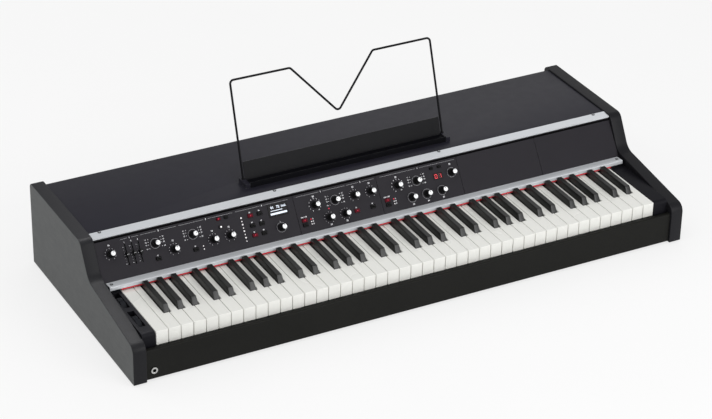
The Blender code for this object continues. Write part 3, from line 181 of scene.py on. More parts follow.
@dataclass(frozen=True)
class Finish:
    """A moulded or painted surface with grain, uneven tone and gloss, and worn edges."""

    name: str
    rgb: Triple
    roughness: float
    metallic: float = 0.0
    specular: float = 0.5
    grain: float = 1500.0
    depth: float = 0.00002
    tone: float = 0.08
    wear: float = 0.25
    edge: float = 0.0005

    def tint(self, lift: float) -> tuple[float, ...]:
        """The finish's colour, lighter or darker by a share."""
        return tuple(min(c * (1 + lift), 1.0) for c in linear(self.rgb)) + (1.0,)

    def height(self, graph: Graph) -> Socket:
        """Fine grain, coarse and fine noise together."""
        return graph.math("ADD", graph.noise(self.grain, 4.0), graph.noise(self.grain / 7, 2.0))

    def colour(self, graph: Graph) -> Socket:
        """Slow drifts of tone with finer mottling."""
        drift = graph.math("ADD", graph.noise(7.0, 2.0), graph.noise(self.grain / 4, 2.0))
        return graph.mix(graph.span(drift, 0.75, 1.25), self.tint(-self.tone), self.tint(self.tone))

    def gloss(self, graph: Graph) -> Socket:
        """Roughness that varies with handling marks."""
        marks = graph.math("ADD", graph.noise(55.0, 5.0), graph.noise(self.grain / 3, 1.0))
        return graph.span(marks, 0.7, 1.3, self.roughness - 0.03, self.roughness + 0.03)

    def extras(self, graph: Graph, shader: bpy.types.Node) -> None:
        """Settings of one kind of finish only; none here."""

    def build(self) -> bpy.types.Material:
        """Make the material, or return the one made before."""
        if self.name in bpy.data.materials:
            return bpy.data.materials[self.name]
        graph = Graph(self.name)
        colour, gloss = self.colour(graph), self.gloss(graph)
        if self.wear:
            patchy = graph.span(graph.noise(320.0, 3.0), 0.42, 0.62)
            worn = graph.math("MULTIPLY", graph.edge(self.edge * 1.6), patchy)
            worn = graph.math("MULTIPLY", worn, self.wear)
            colour = graph.mix(worn, colour, WORN_TONE)
            gloss = graph.math("ADD", gloss, graph.math("MULTIPLY", worn, -0.1))
        shader = graph.add("ShaderNodeBsdfPrincipled", Base_Color=colour, Roughness=gloss,
                           Metallic=self.metallic, Specular_IOR_Level=self.specular)
        graph.links.new(graph.bump(self.height(graph), self.depth, self.edge), shader.inputs["Normal"])
        self.extras(graph, shader)
        graph.links.new(shader.outputs[0], graph.surface.inputs[0])
        return graph.material


@dataclass(frozen=True)
class BrushedFinish(Finish):
    """Aluminium brushed along x: long thin scratches in height, tone and gloss."""

    metallic: float = 1.0
    depth: float = 0.000012

    def streaks(self, graph: Graph) -> Socket:
        """Noise drawn out along x."""
        fine = graph.noise(1.0, 3.0, graph.coords((14.0, 2600.0, 2600.0)))
        return graph.math("ADD", fine, graph.noise(1.0, 2.0, graph.coords((3.0, 420.0, 420.0))))

    def height(self, graph: Graph) -> Socket:
        """Scratches that follow the brushing."""
        return self.streaks(graph)

    def colour(self, graph: Graph) -> Socket:
        """Tone that follows the brushing, with a slow drift along the strip."""
        drift = graph.math("ADD", self.streaks(graph), graph.noise(3.0, 1.0, graph.coords((1.0, 0.0, 0.0))))
        return graph.mix(graph.span(drift, 1.1, 1.9), self.tint(-self.tone), self.tint(self.tone))

    def gloss(self, graph: Graph) -> Socket:
        """Gloss that follows the brushing."""
        return graph.span(self.streaks(graph), 0.7, 1.3, self.roughness - 0.07, self.roughness + 0.08)


@dataclass(frozen=True)
class SpunFinish(Finish):
    """Metal turned on a lathe: rings that follow the piece's own radius."""

    metallic: float = 1.0
    wear: float = 0.0

    def rings(self, graph: Graph) -> Socket:
        """Noise that changes with the radius only, read from the second UV coordinate."""
        split = graph.add("ShaderNodeSeparateXYZ", Vector=graph.add("ShaderNodeUVMap").outputs[0])
        return graph.add("ShaderNodeTexNoise", {"noise_dimensions": "1D"}, W=split.outputs[1], Scale=90.0,
                         Detail=3.0).outputs[0]

    def height(self, graph: Graph) -> Socket:
        """Turning marks."""
        return self.rings(graph)

    def gloss(self, graph: Graph) -> Socket:
        """Gloss that follows the turning marks."""
        return graph.span(self.rings(graph), 0.3, 0.7, self.roughness - 0.08, self.roughness + 0.08)


@dataclass(frozen=True)
class CheekFinish(Finish):
    """Satin paint, with a paler painted sheen on the outer face that stands in for the side light's
    highlight.
    """

    # Colour of the painted sheen on the outer face: a side-light highlight painted into the colour, not a
    # laminate
    face: Triple = (72, 74, 74)
    face_from: float = 0.5572
    face_to: float = 0.5578

    def colour(self, graph: Graph) -> Socket:
        """The edges' paint, and the paler painted sheen where x nears the outer face."""
        across = graph.add("ShaderNodeSeparateXYZ", Vector=graph.coords()).outputs[0]
        share = graph.span(graph.math("ABSOLUTE", across), self.face_from, self.face_to)
        # Streaky mottling inside the painted sheen
        sheen_mottle = graph.noise(1.0, 4.0, graph.coords((300.0, 40.0, 900.0)))
        painted_sheen = graph.mix(graph.span(sheen_mottle, 0.35, 0.65), linear([c - 4 for c in self.face]) + (1.0,),
                             linear([c + 4 for c in self.face]) + (1.0,))
        return graph.mix(share, super().colour(graph), painted_sheen)


@dataclass(frozen=True)
class KeyFinish(Finish):
    """White key plastic: each key a shade of its own, with smudged gloss and lower sides darkened by grime
    and painted shade.
    """

    wear: float = 0.0

    def colour(self, graph: Graph) -> Socket:
        """A tone for each key number, soft mottling, and a little grime with painted shade low on the sides,
        in the gaps between keys.
        """
        split = graph.add("ShaderNodeSeparateXYZ", Vector=graph.coords()).outputs
        along = graph.math("SUBTRACT", split[0], KEYS_LEFT)
        number = graph.math("FLOOR", graph.math("DIVIDE", along, KEY_PITCH))
        own = graph.add("ShaderNodeTexWhiteNoise", {"noise_dimensions": "1D"}, W=number).outputs[0]
        drift = graph.math("ADD", graph.math("MULTIPLY", own, 0.8), graph.noise(14.0, 2.0))
        clean = graph.mix(graph.span(drift, 0.4, 1.4), self.tint(-self.tone), self.tint(self.tone))
        # Darker low down on the sides: grime together with painted shade from the gaps between keys
        top = KEY_TOP + CASE_SHIFT[2]
        low_down = graph.span(split[2], top - 0.002, top - 0.014)
        grime_and_shade = graph.math("MULTIPLY", low_down, graph.noise(180.0, 4.0))
        return graph.mix(graph.math("MULTIPLY", grime_and_shade, 0.1), clean, GRIME_AND_SHADE_TONE)

    def gloss(self, graph: Graph) -> Socket:
        """Gloss that drifts slowly over the polished tops."""
        return graph.span(graph.noise(9.0, 2.0), 0.35, 0.65, self.roughness - 0.03, self.roughness + 0.03)


@dataclass(frozen=True)
class FeltFinish(Finish):
    """Wool felt: matted fibres and a soft sheen."""

    wear: float = 0.0
    fibre: float = 3800.0

    def height(self, graph: Graph) -> Socket:
        """Matted fibres from noise bent by noise."""
        place = graph.coords((0.4, 1.0, 1.0))
        return graph.add("ShaderNodeTexNoise", Vector=place, Scale=self.fibre, Detail=6.0,
                         Distortion=1.6).outputs[0]

    def extras(self, graph: Graph, shader: bpy.types.Node) -> None:
        """Sheen of loose fibre ends."""
        shader.inputs["Sheen Weight"].default_value = 0.4
        shader.inputs["Sheen Roughness"].default_value = 0.6


@dataclass(frozen=True)
class CellFinish(Finish):
    """Zinc plate: crystals that differ in tone and gloss."""

    metallic: float = 1.0
    cells: float = 260.0

    def colour(self, graph: Graph) -> Socket:
        """A tone for each crystal."""
        cell = graph.add("ShaderNodeTexVoronoi", Vector=graph.coords(), Scale=self.cells).outputs["Color"]
        share = graph.add("ShaderNodeSeparateColor", Color=cell).outputs[0]
        return graph.mix(share, self.tint(-self.tone), self.tint(self.tone))


@dataclass(frozen=True)
class CircuitFinish(Finish):
    """Green lacquer over copper tracks, with black housings behind the rear plate's face."""

    wear: float = 0.0
    housing_from: float = 0.200
    housing_above: float = 0.0365

    def colour(self, graph: Graph) -> Socket:
        """Tracks as thin cell borders; everything far back or tall is black plastic."""
        place = graph.coords()
        border = graph.add("ShaderNodeTexVoronoi", {"feature": "DISTANCE_TO_EDGE", "distance": "EUCLIDEAN"},
                           Vector=place, Scale=140.0).outputs[0]
        board = graph.mix(graph.span(border, 0.03, 0.06), TRACK_TONE, self.tint(0.0))
        split = graph.add("ShaderNodeSeparateXYZ", Vector=place).outputs
        far = graph.math("GREATER_THAN", split[1], self.housing_from)
        tall = graph.math("GREATER_THAN", split[2], self.housing_above)
        return graph.mix(graph.math("MAXIMUM", far, tall), board, linear(HOUSING_RGB) + (1.0,))


@dataclass(frozen=True)
class GlowFinish(Finish):
    """A lit lens or display mark: coloured plastic with its own faint light."""

    wear: float = 0.0
    glow: float = 0.6

    def extras(self, graph: Graph, shader: bpy.types.Node) -> None:
        """Its own light, in its own colour."""
        shader.inputs["Emission Color"].default_value = self.tint(0.0)
        shader.inputs["Emission Strength"].default_value = self.glow


# The cheeks' outer faces carry a paler painted sheen that stands in for the side light's highlight
CHEEK = CheekFinish("cheek_satin_board", (27, 27, 30), 0.44, specular=0.15, grain=2400, depth=0.000012,
                    tone=0.04, wear=0.12)
LID = Finish("lid_satin_paint", (33, 32, 41), 0.4, specular=0.2, grain=1700, depth=0.000012, tone=0.03,
             wear=0.15)
RAIL = Finish("front_rail_matt_paint", (24, 24, 22), 0.55, specular=0.12, grain=1300, depth=0.00002,
              wear=0.18)
BOARD = Finish("black_fibre_board", (34, 33, 32), 0.72, specular=0.25, grain=500, depth=0.00006, tone=0.14)
PANEL = Finish("panel_satin_paint", (38, 36, 41), 0.46, specular=0.12, grain=2600, depth=0.00001, tone=0.04,
               wear=0.12)
BLOCK = Finish("key_block_plastic", (24, 24, 28), 0.45, specular=0.07, grain=2200, depth=0.000014, wear=0.12)
METAL = BrushedFinish("brushed_aluminium_trim", (215, 218, 222), 0.42, metallic=0.35, tone=0.05, wear=0.1)
WHITE = KeyFinish("white_key_acrylic", (229, 229, 224), 0.26, specular=0.5, grain=500, depth=0.000001,
                  tone=0.012)
BLACK = Finish("black_key_matt_plastic", (15, 16, 15), 0.36, specular=0.5, grain=2600, depth=0.00001,
               wear=0.1)
FELT = FeltFinish("red_wool_felt", (214, 16, 40), 0.95, specular=0.1, grain=2500, depth=0.0002, tone=0.2)
KNOB = Finish("knob_black_plastic", (14, 14, 15), 0.42, specular=0.3, grain=3200, depth=0.00001, wear=0.08)
CAP = SpunFinish("knob_cap_spun_aluminium", (232, 233, 235), 0.4, metallic=0.3, depth=0.000006, tone=0.03)
POINTER = Finish("pointer_black_ink", (18, 18, 19), 0.5, grain=5000, depth=0.000006, wear=0.0)
BUTTON = Finish("button_black_plastic", (9, 9, 10), 0.4, specular=0.1, grain=3500, depth=0.000012, wear=0.08)
RED_BUTTON = GlowFinish("button_red_lit_plastic", (78, 8, 22), 0.4, specular=0.1, grain=3500, depth=0.00001,
                        glow=0.3)
BUTTON_EYE = GlowFinish("button_red_eye", (190, 36, 60), 0.4, specular=0.15, grain=4000, depth=0.000006,
                        glow=0.35)
RED_EYE = GlowFinish("red_lens", (214, 30, 62), 0.3, grain=4000, depth=0.000006, glow=0.9)
LENS = GlowFinish("clear_lamp_lens", (226, 222, 224), 0.22, grain=3500, depth=0.000006, glow=0.35)
GLASS = Finish("display_pane", (13, 11, 14), 0.16, specular=0.1, grain=300, depth=0.000001, wear=0.0)
RED_GLASS = Finish("digit_pane", (34, 4, 8), 0.16, specular=0.1, grain=300, depth=0.000001, wear=0.0)
MARK = GlowFinish("display_mark", (206, 214, 226), 0.4, grain=6000, depth=0.000002, glow=0.6)
DIGIT = GlowFinish("red_digit", (236, 42, 58), 0.4, grain=6000, depth=0.000002, glow=0.8)
# Unlit segments: dark red with a faint painted glow, though nothing lights them
DIM_DIGIT = GlowFinish("dim_red_digit", (78, 10, 18), 0.4, grain=6000, depth=0.000002, glow=0.08)
INK = Finish("white_panel_ink", (232, 232, 236), 0.5, grain=7000, depth=0.000004, wear=0.0, tone=0.06)
PALE_INK = Finish("grey_panel_ink", (168, 168, 172), 0.5, grain=7000, depth=0.000004, wear=0.0, tone=0.08)
WHEEL = Finish("wheel_rubber_skin", (20, 22, 28), 0.62, specular=0.25, grain=2600, depth=0.00003, wear=0.1)
WIRE = Finish("stand_powder_coat", (11, 11, 15), 0.4, specular=0.12, grain=1400, depth=0.00002, wear=0.08)
SCREW = Finish("black_oxide_screw", (13, 13, 14), 0.5, specular=0.15, grain=2500, depth=0.00001, wear=0.1)
STEEL = CellFinish("zinc_plated_steel", (172, 174, 178), 0.36, grain=800, tone=0.12)
NICKEL = SpunFinish("nickel_ring", (190, 190, 188), 0.22, depth=0.00001, tone=0.04)
CIRCUIT = CircuitFinish("circuit_lacquer", (18, 66, 36), 0.42, grain=700, depth=0.00002, tone=0.1)
# Near-black sheet that paints the shadow in the gap under the upper strip
SHADOW_LINE_BLACK = Finish("painted_shadow_black", (6, 6, 7), 0.9, specular=0.04, grain=1800, depth=0.00004, wear=0.0)
RUBBER = Finish("foot_rubber_skin", (22, 22, 22), 0.85, specular=0.2, grain=1100, depth=0.00006, wear=0.0)


# Shapes


@dataclass(frozen=True)
class Place:
    """A local frame in case metres: an origin and three axes."""

    origin: Triple = (0.0, 0.0, 0.0)
    x: Triple = (1.0, 0.0, 0.0)
    y: Triple = (0.0, 1.0, 0.0)
    z: Triple = (0.0, 0.0, 1.0)

    def row(self, points: Array) -> Array:
        """Local points in the row frame."""
        return points @ np.array((self.x, self.y, self.z)) + np.array(self.origin) + CASE_SHIFT

    def lifted(self, height: float) -> "Place":
        """The same frame moved out along its own z."""
        return replace(self, origin=tuple(np.array(self.origin) + height * np.array(self.z)))


CASE = Place()


def on_panel(panel: str, along: float = 0.0, up: float = 0.0) -> Place:
    """Frame on the sloping panels: x along, y up the slope, z out of the surface."""
    rise, run = math.sin(SLOPE), math.cos(SLOPE)
    origin = (PANEL_LEFTS[panel] + along, SLOPE_FOOT[1] + up * run, SLOPE_FOOT[2] + up * rise)
    return Place(origin, (1.0, 0.0, 0.0), (0.0, run, rise), (0.0, -rise, run))


def on_back(x: float, y: float, z: float) -> Place:
    """Frame on the back of the case: z points out of it and y up."""
    return Place((x, y, z), (-1.0, 0.0, 0.0), (0.0, 0.0, 1.0), (0.0, 1.0, 0.0))


def on_front(x: float, y: float, z: float) -> Place:
    """Frame on the front of the case: z points out of it and y up."""
    return Place((x, y, z), (1.0, 0.0, 0.0), (0.0, 0.0, 1.0), (0.0, -1.0, 0.0))


def rounded(corners: Iterable[Triple], steps: int = 5) -> Array:
    """A closed outline: each (u, v, radius) corner becomes an arc between its tangent points.

    Args:
        corners: Corners with the radius of each.
        steps: Spans on each arc.

    Returns:
        Outline points, counter-clockwise.
    """
    given = np.asarray(list(corners), float)
    area = np.sum(given[:, 0] * np.roll(given[:, 1], -1) - np.roll(given[:, 0], -1) * given[:, 1])
    given = given if area > 0 else given[::-1]
    here, radius = given[:, :2], given[:, 2]
    to_last, to_next = np.roll(here, 1, 0) - here, np.roll(here, -1, 0) - here
    to_last /= np.linalg.norm(to_last, axis=1, keepdims=True)
    to_next /= np.linalg.norm(to_next, axis=1, keepdims=True)
    half = np.arccos(np.clip((to_last * to_next).sum(1), -1, 1)) / 2
    middle = to_last + to_next
    middle /= np.linalg.norm(middle, axis=1, keepdims=True)
    centre = here + middle * (radius / np.sin(half))[:, None]
    start = here + to_last * (radius / np.tan(half))[:, None] - centre
    sweep = np.pi - 2 * half
    turn = np.sign(to_last[:, 1] * to_next[:, 0] - to_last[:, 0] * to_next[:, 1])
    angle = (turn * sweep)[:, None] * np.linspace(0, 1, steps + 1)
    cos, sin = np.cos(angle), np.sin(angle)
    arc = np.stack((start[:, :1] * cos - start[:, 1:] * sin, start[:, :1] * sin + start[:, 1:] * cos), -1)
    points = (centre[:, None] + arc).reshape(-1, 2)
    keep = np.linalg.norm(points - np.roll(points, 1, 0), axis=1) > 1e-7
    return points[keep]


def box_outline(width: float, height: float, radius: float, steps: int = 4) -> Array:
    """A rounded rectangle about the origin."""
    u, v = width / 2, height / 2
    return rounded([(-u, -v, radius), (u, -v, radius), (u, v, radius), (-u, v, radius)], steps)


def raised(flat: Array, height: Array | float) -> Array:
    """Rows of flat points with their height as a third coordinate."""
    return np.concatenate((flat, np.broadcast_to(height, (*flat.shape[:2], 1))), -1)


def beside(path: Array, closed: bool = False) -> Array:
    """Unit vectors square to a path, on its left; closed is True if its last point joins the first."""
    ahead = np.roll(path, -1, 0) - np.roll(path, 1, 0) if closed else np.gradient(path, axis=0)
    ahead /= np.linalg.norm(ahead, axis=1, keepdims=True)
    return np.stack((-ahead[:, 1], ahead[:, 0]), 1)


def slab(outline: Array, profile: Sequence[Pair]) -> Array:
    """An outline raised along a profile: every row is the outline moved inwards by the row's inset.

    A corner moves along the mean of its sides' inward normals, divided by one plus their product, so
    that both sides move by the inset.

    Args:
        outline: Closed counter-clockwise outline.
        profile: Inset and height of each row.

    Returns:
        Grid of points, one row for each height.
    """
    ahead = np.roll(outline, -1, 0) - outline
    ahead /= np.linalg.norm(ahead, axis=1, keepdims=True)
    left = np.stack((-ahead[:, 1], ahead[:, 0]), 1)
    back = np.roll(left, 1, 0)
    step = (left + back) / (1 + (left * back).sum(1, keepdims=True))
    rows = np.asarray(profile, float)
    return raised(outline[None] + rows[:, :1, None] * step[None], rows[:, 1:2, None])


def wall(low: float, high: float, top: float, bottom: float = 0.0, steps: int = 4) -> list[Pair]:
    """Profile up a wall whose top edge, and bottom edge if it has a radius, is a quarter circle.

    Args:
        low: Height of the wall's foot.
        high: Height of its top.
        top: Radius of the top edge.
        bottom: Radius of the bottom edge, or 0 for a square one.
        steps: Spans on each quarter circle.

    Returns:
        Inset and height of each row.
    """
    turn = np.linspace(0, math.pi / 2, steps + 1)
    upper = np.stack((top * (1 - np.cos(turn)), high - top * (1 - np.sin(turn))), 1)
    lower = np.array([[0.0, low]])
    if bottom:
        lower = np.stack((bottom * (1 - np.cos(turn)), low + bottom * (1 - np.sin(turn))), 1)[::-1]
    return np.concatenate((lower, upper)).tolist()


def lathe(profile: Sequence[Sequence[float]], sides: int = 48, flutes: int = 0, depth: float = 0.0) -> Array:
    """Radius and height turned about z, with flutes that follow the square of a raised cosine.

    Args:
        profile: Radius, height and, if there are flutes, the share of their depth, for each row.
        sides: Points round the axis.
        flutes: Number of flutes.
        depth: Depth of a flute in metres.

    Returns:
        Grid of points, one row for each profile point.
    """
    rows = np.asarray(profile, float)
    angle = np.linspace(0, 2 * math.pi, sides, endpoint=False)
    share = rows[:, 2:3] if rows.shape[1] > 2 else 0.0
    radius = rows[:, :1] - share * depth * (0.5 + 0.5 * np.cos(flutes * angle)) ** 2
    height = np.broadcast_to(rows[:, 1:2], radius.shape)
    return np.stack((radius * np.cos(angle), radius * np.sin(angle), height), -1)


def ribbon(path: Array | Sequence[Pair], width: float, closed: bool = False) -> Array:
    """A flat stroke: the path moved to both sides by half its width, square to its direction.

    Args:
        path: Points along the middle of the stroke.
        width: Width of the stroke.
        closed: True if the last point joins the first.

    Returns:
        Grid of two rows, one for each side of the stroke, at the height of print.
    """
    path = np.asarray(path, float)
    side = beside(path, closed) * width / 2
    return raised(np.stack((path - side, path + side)), INK_RISE)


def circle(centre: Pair, radius: float, start: float = 0.0, end: float = 360.0, steps: int = 48) -> Array:
    """Points on an arc, in degrees from x, counter-clockwise."""
    angle = np.radians(np.linspace(start, end, steps + 1))
    return np.stack((centre[0] + radius * np.cos(angle), centre[1] + radius * np.sin(angle)), 1)


class Shell:
    """Grids and flat faces gathered into one mesh, with UVs and a finish for each."""

    def __init__(self) -> None:
        """Start with nothing."""
        self.points: list[Array] = []
        self.faces: list[list[int]] = []
        self.uvs: list[Array] = []
        self.slots: list[int] = []
        self.count = 0

    def grid(self, points: Array, place: Place = CASE, slot: int = 0, wrap: bool = False) -> "Shell":
        """Add a grid of quads.

        Args:
            points: Rows of points in the place's own frame.
            place: Frame of the points.
            slot: Number of the finish.
            wrap: True to join the last column to the first.

        Returns:
            The shell itself.
        """
        rows, columns = points.shape[:2]
        index = self.count + np.arange(rows * columns).reshape(rows, columns)
        if wrap:
            index = np.hstack((index, index[:, :1]))
        v, u = np.meshgrid(np.linspace(0, 1, rows), np.linspace(0, 1, index.shape[1]), indexing="ij")
        uv = np.stack((u, v), -1)
        corners = ((slice(None, -1), slice(None, -1)), (slice(None, -1), slice(1, None)),
                   (slice(1, None), slice(1, None)), (slice(1, None), slice(None, -1)))
        quads = np.stack([index[c] for c in corners], -1).reshape(-1, 4)
        self.uvs.append(np.stack([uv[c] for c in corners], -2).reshape(-1, 2))
        self.points.append(place.row(points.reshape(-1, 3)))
        self.faces += quads.tolist()
        self.slots += [slot] * len(quads)
        self.count += rows * columns
        return self

    def face(self, points: Array, place: Place = CASE, slot: int = 0) -> "Shell":
        """Add one flat face with any number of corners."""
        self.points.append(place.row(points))
        self.faces.append(list(range(self.count, self.count + len(points))))
        low, size = points.min(0), np.ptp(points, axis=0) + 1e-9
        order = np.argsort(-size)[:2]
        self.uvs.append(((points - low) / size)[:, order])
        self.slots.append(slot)
        self.count += len(points)
        return self

    def solid(self, rings: Array, place: Place = CASE, slot: int = 0,
              axes: Sequence[int] = (0, 1, 2)) -> "Shell":
        """Add rings as a closed solid, with both end rings capped and the axes taken in that order."""
        turned = rings[..., list(axes)]
        self.grid(turned, place, slot, wrap=True)
        self.face(turned[0][::-1], place, slot)
        return self.face(turned[-1], place, slot)

    def box(self, low: Triple, high: Triple, place: Place = CASE, slot: int = 0,
            radius: float = 0.0003) -> "Shell":
        """Add a box between two corners, with softened edges."""
        middle = [(a + b) / 2 for a, b in zip(low, high)]
        outline = box_outline(high[0] - low[0], high[1] - low[1], radius, 2) + np.array(middle[:2])
        return self.solid(slab(outline, wall(low[2], high[2], radius, radius, 2)), place, slot)

    def line(self, path: Sequence[Pair], width: float, place: Place, slot: int = 0) -> "Shell":
        """Add a flat printed line."""
        return self.grid(ribbon(path, width), place, slot)

    def dot(self, at: Pair, radius: float, place: Place) -> "Shell":
        """Add a flat printed dot."""
        flat = circle(at, radius, steps=10)[:-1]
        return self.face(np.column_stack((flat, np.full(len(flat), INK_RISE))), place)

    def text(self, words: str, size: float, at: Pair, place: Place, slot: int = 0) -> "Shell":
        """Add numbers or other plain signs as flat faces.

        Args:
            words: The numbers or signs.
            size: Height of a line of them.
            at: Point that they are centred on.
            place: Frame of the printed surface.
            slot: Number of the finish.

        Returns:
            The shell itself.
        """
        curve = bpy.data.curves.new("sign", "FONT")
        curve.body, curve.size, curve.align_x, curve.align_y = words, size, "CENTER", "CENTER"
        curve.resolution_u, curve.offset = 2, size * 0.035
        sign = bpy.data.objects.new("sign", curve)
        mesh = bpy.data.meshes.new_from_object(sign)
        points = np.zeros(len(mesh.vertices) * 3)
        mesh.vertices.foreach_get("co", points)
        points = points.reshape(-1, 3) + np.array((*at, INK_RISE))
        start = self.count
        self.points.append(place.row(points))
        for polygon in mesh.polygons:
            corners = list(polygon.vertices)
            self.faces.append([start + corner for corner in corners])
            self.uvs.append(points[corners][:, :2])
            self.slots.append(slot)
        self.count += len(points)
        bpy.data.objects.remove(sign)
        bpy.data.curves.remove(curve)
        bpy.data.meshes.remove(mesh)
        return self

    def piece(self, name: str, finishes: Sequence[Finish], body: str, slot: Slot,
              replaces: Sequence[str] = (), closed: bool = True, sharp: float = 38.0) -> bpy.types.Object:
        """Turn what was gathered into a named piece that rides on a body.

        Args:
            name: Name of the piece.
            finishes: Finishes in the order of the slot numbers given with the grids.
            body: CAD body that carries the piece.
            slot: Material slot of the record; not used.
            replaces: CAD nodes that the piece stands for.
            closed: True if its shells are closed, so that seams merge and faces are turned outwards.
            sharp: Angle in degrees above which an edge stays sharp.

        Returns:
            The new object.
        """
        mesh = bpy.data.meshes.new(name)
        mesh.from_pydata(np.concatenate(self.points).tolist(), [], self.faces)
        layer = mesh.uv_layers.new(name="UVMap")
        layer.data.foreach_set("uv", np.concatenate(self.uvs).astype(np.float32).ravel())
        mesh.polygons.foreach_set("material_index", np.array(self.slots, np.int32))
        if closed:
            merged = bmesh.new()
            merged.from_mesh(mesh)
            bmesh.ops.remove_doubles(merged, verts=merged.verts, dist=1e-7)
            bmesh.ops.recalc_face_normals(merged, faces=merged.faces)
            merged.to_mesh(mesh)
            merged.free()
        for finish in finishes:
            mesh.materials.append(finish.build())
        mesh.shade_smooth()
        mesh.set_sharp_from_angle(angle=math.radians(sharp))
        obj = bpy.data.objects.new(name, mesh)
        bpy.context.scene.collection.objects.link(obj)
        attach(obj, body)
        if replaces:
            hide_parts(*replaces)
        LOG.info("%s: %d faces on %s", name, len(mesh.polygons), body)
        return obj


# Case


def dress_node(name: str, finish: Finish) -> None:
    """Give a CAD node a finish, with smooth curved faces and sharp corners.

    Args:
        name: Name of the node.
        finish: Finish that takes the place of its plain material.
    """
    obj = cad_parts[name]
    mesh = obj.data
    mesh.materials.clear()
    mesh.materials.append(finish.build())
    if "custom_normal" in mesh.attributes:
        mesh.attributes.remove(mesh.attributes["custom_normal"])
    mesh.shade_smooth()
    weld = obj.modifiers.new("seams", "WELD")
    weld.merge_threshold = 0.00001
    split = obj.modifiers.new("corners", "EDGE_SPLIT")
    split.split_angle = math.radians(32)
    LOG.info("%s: dressed in %s", name, finish.name)


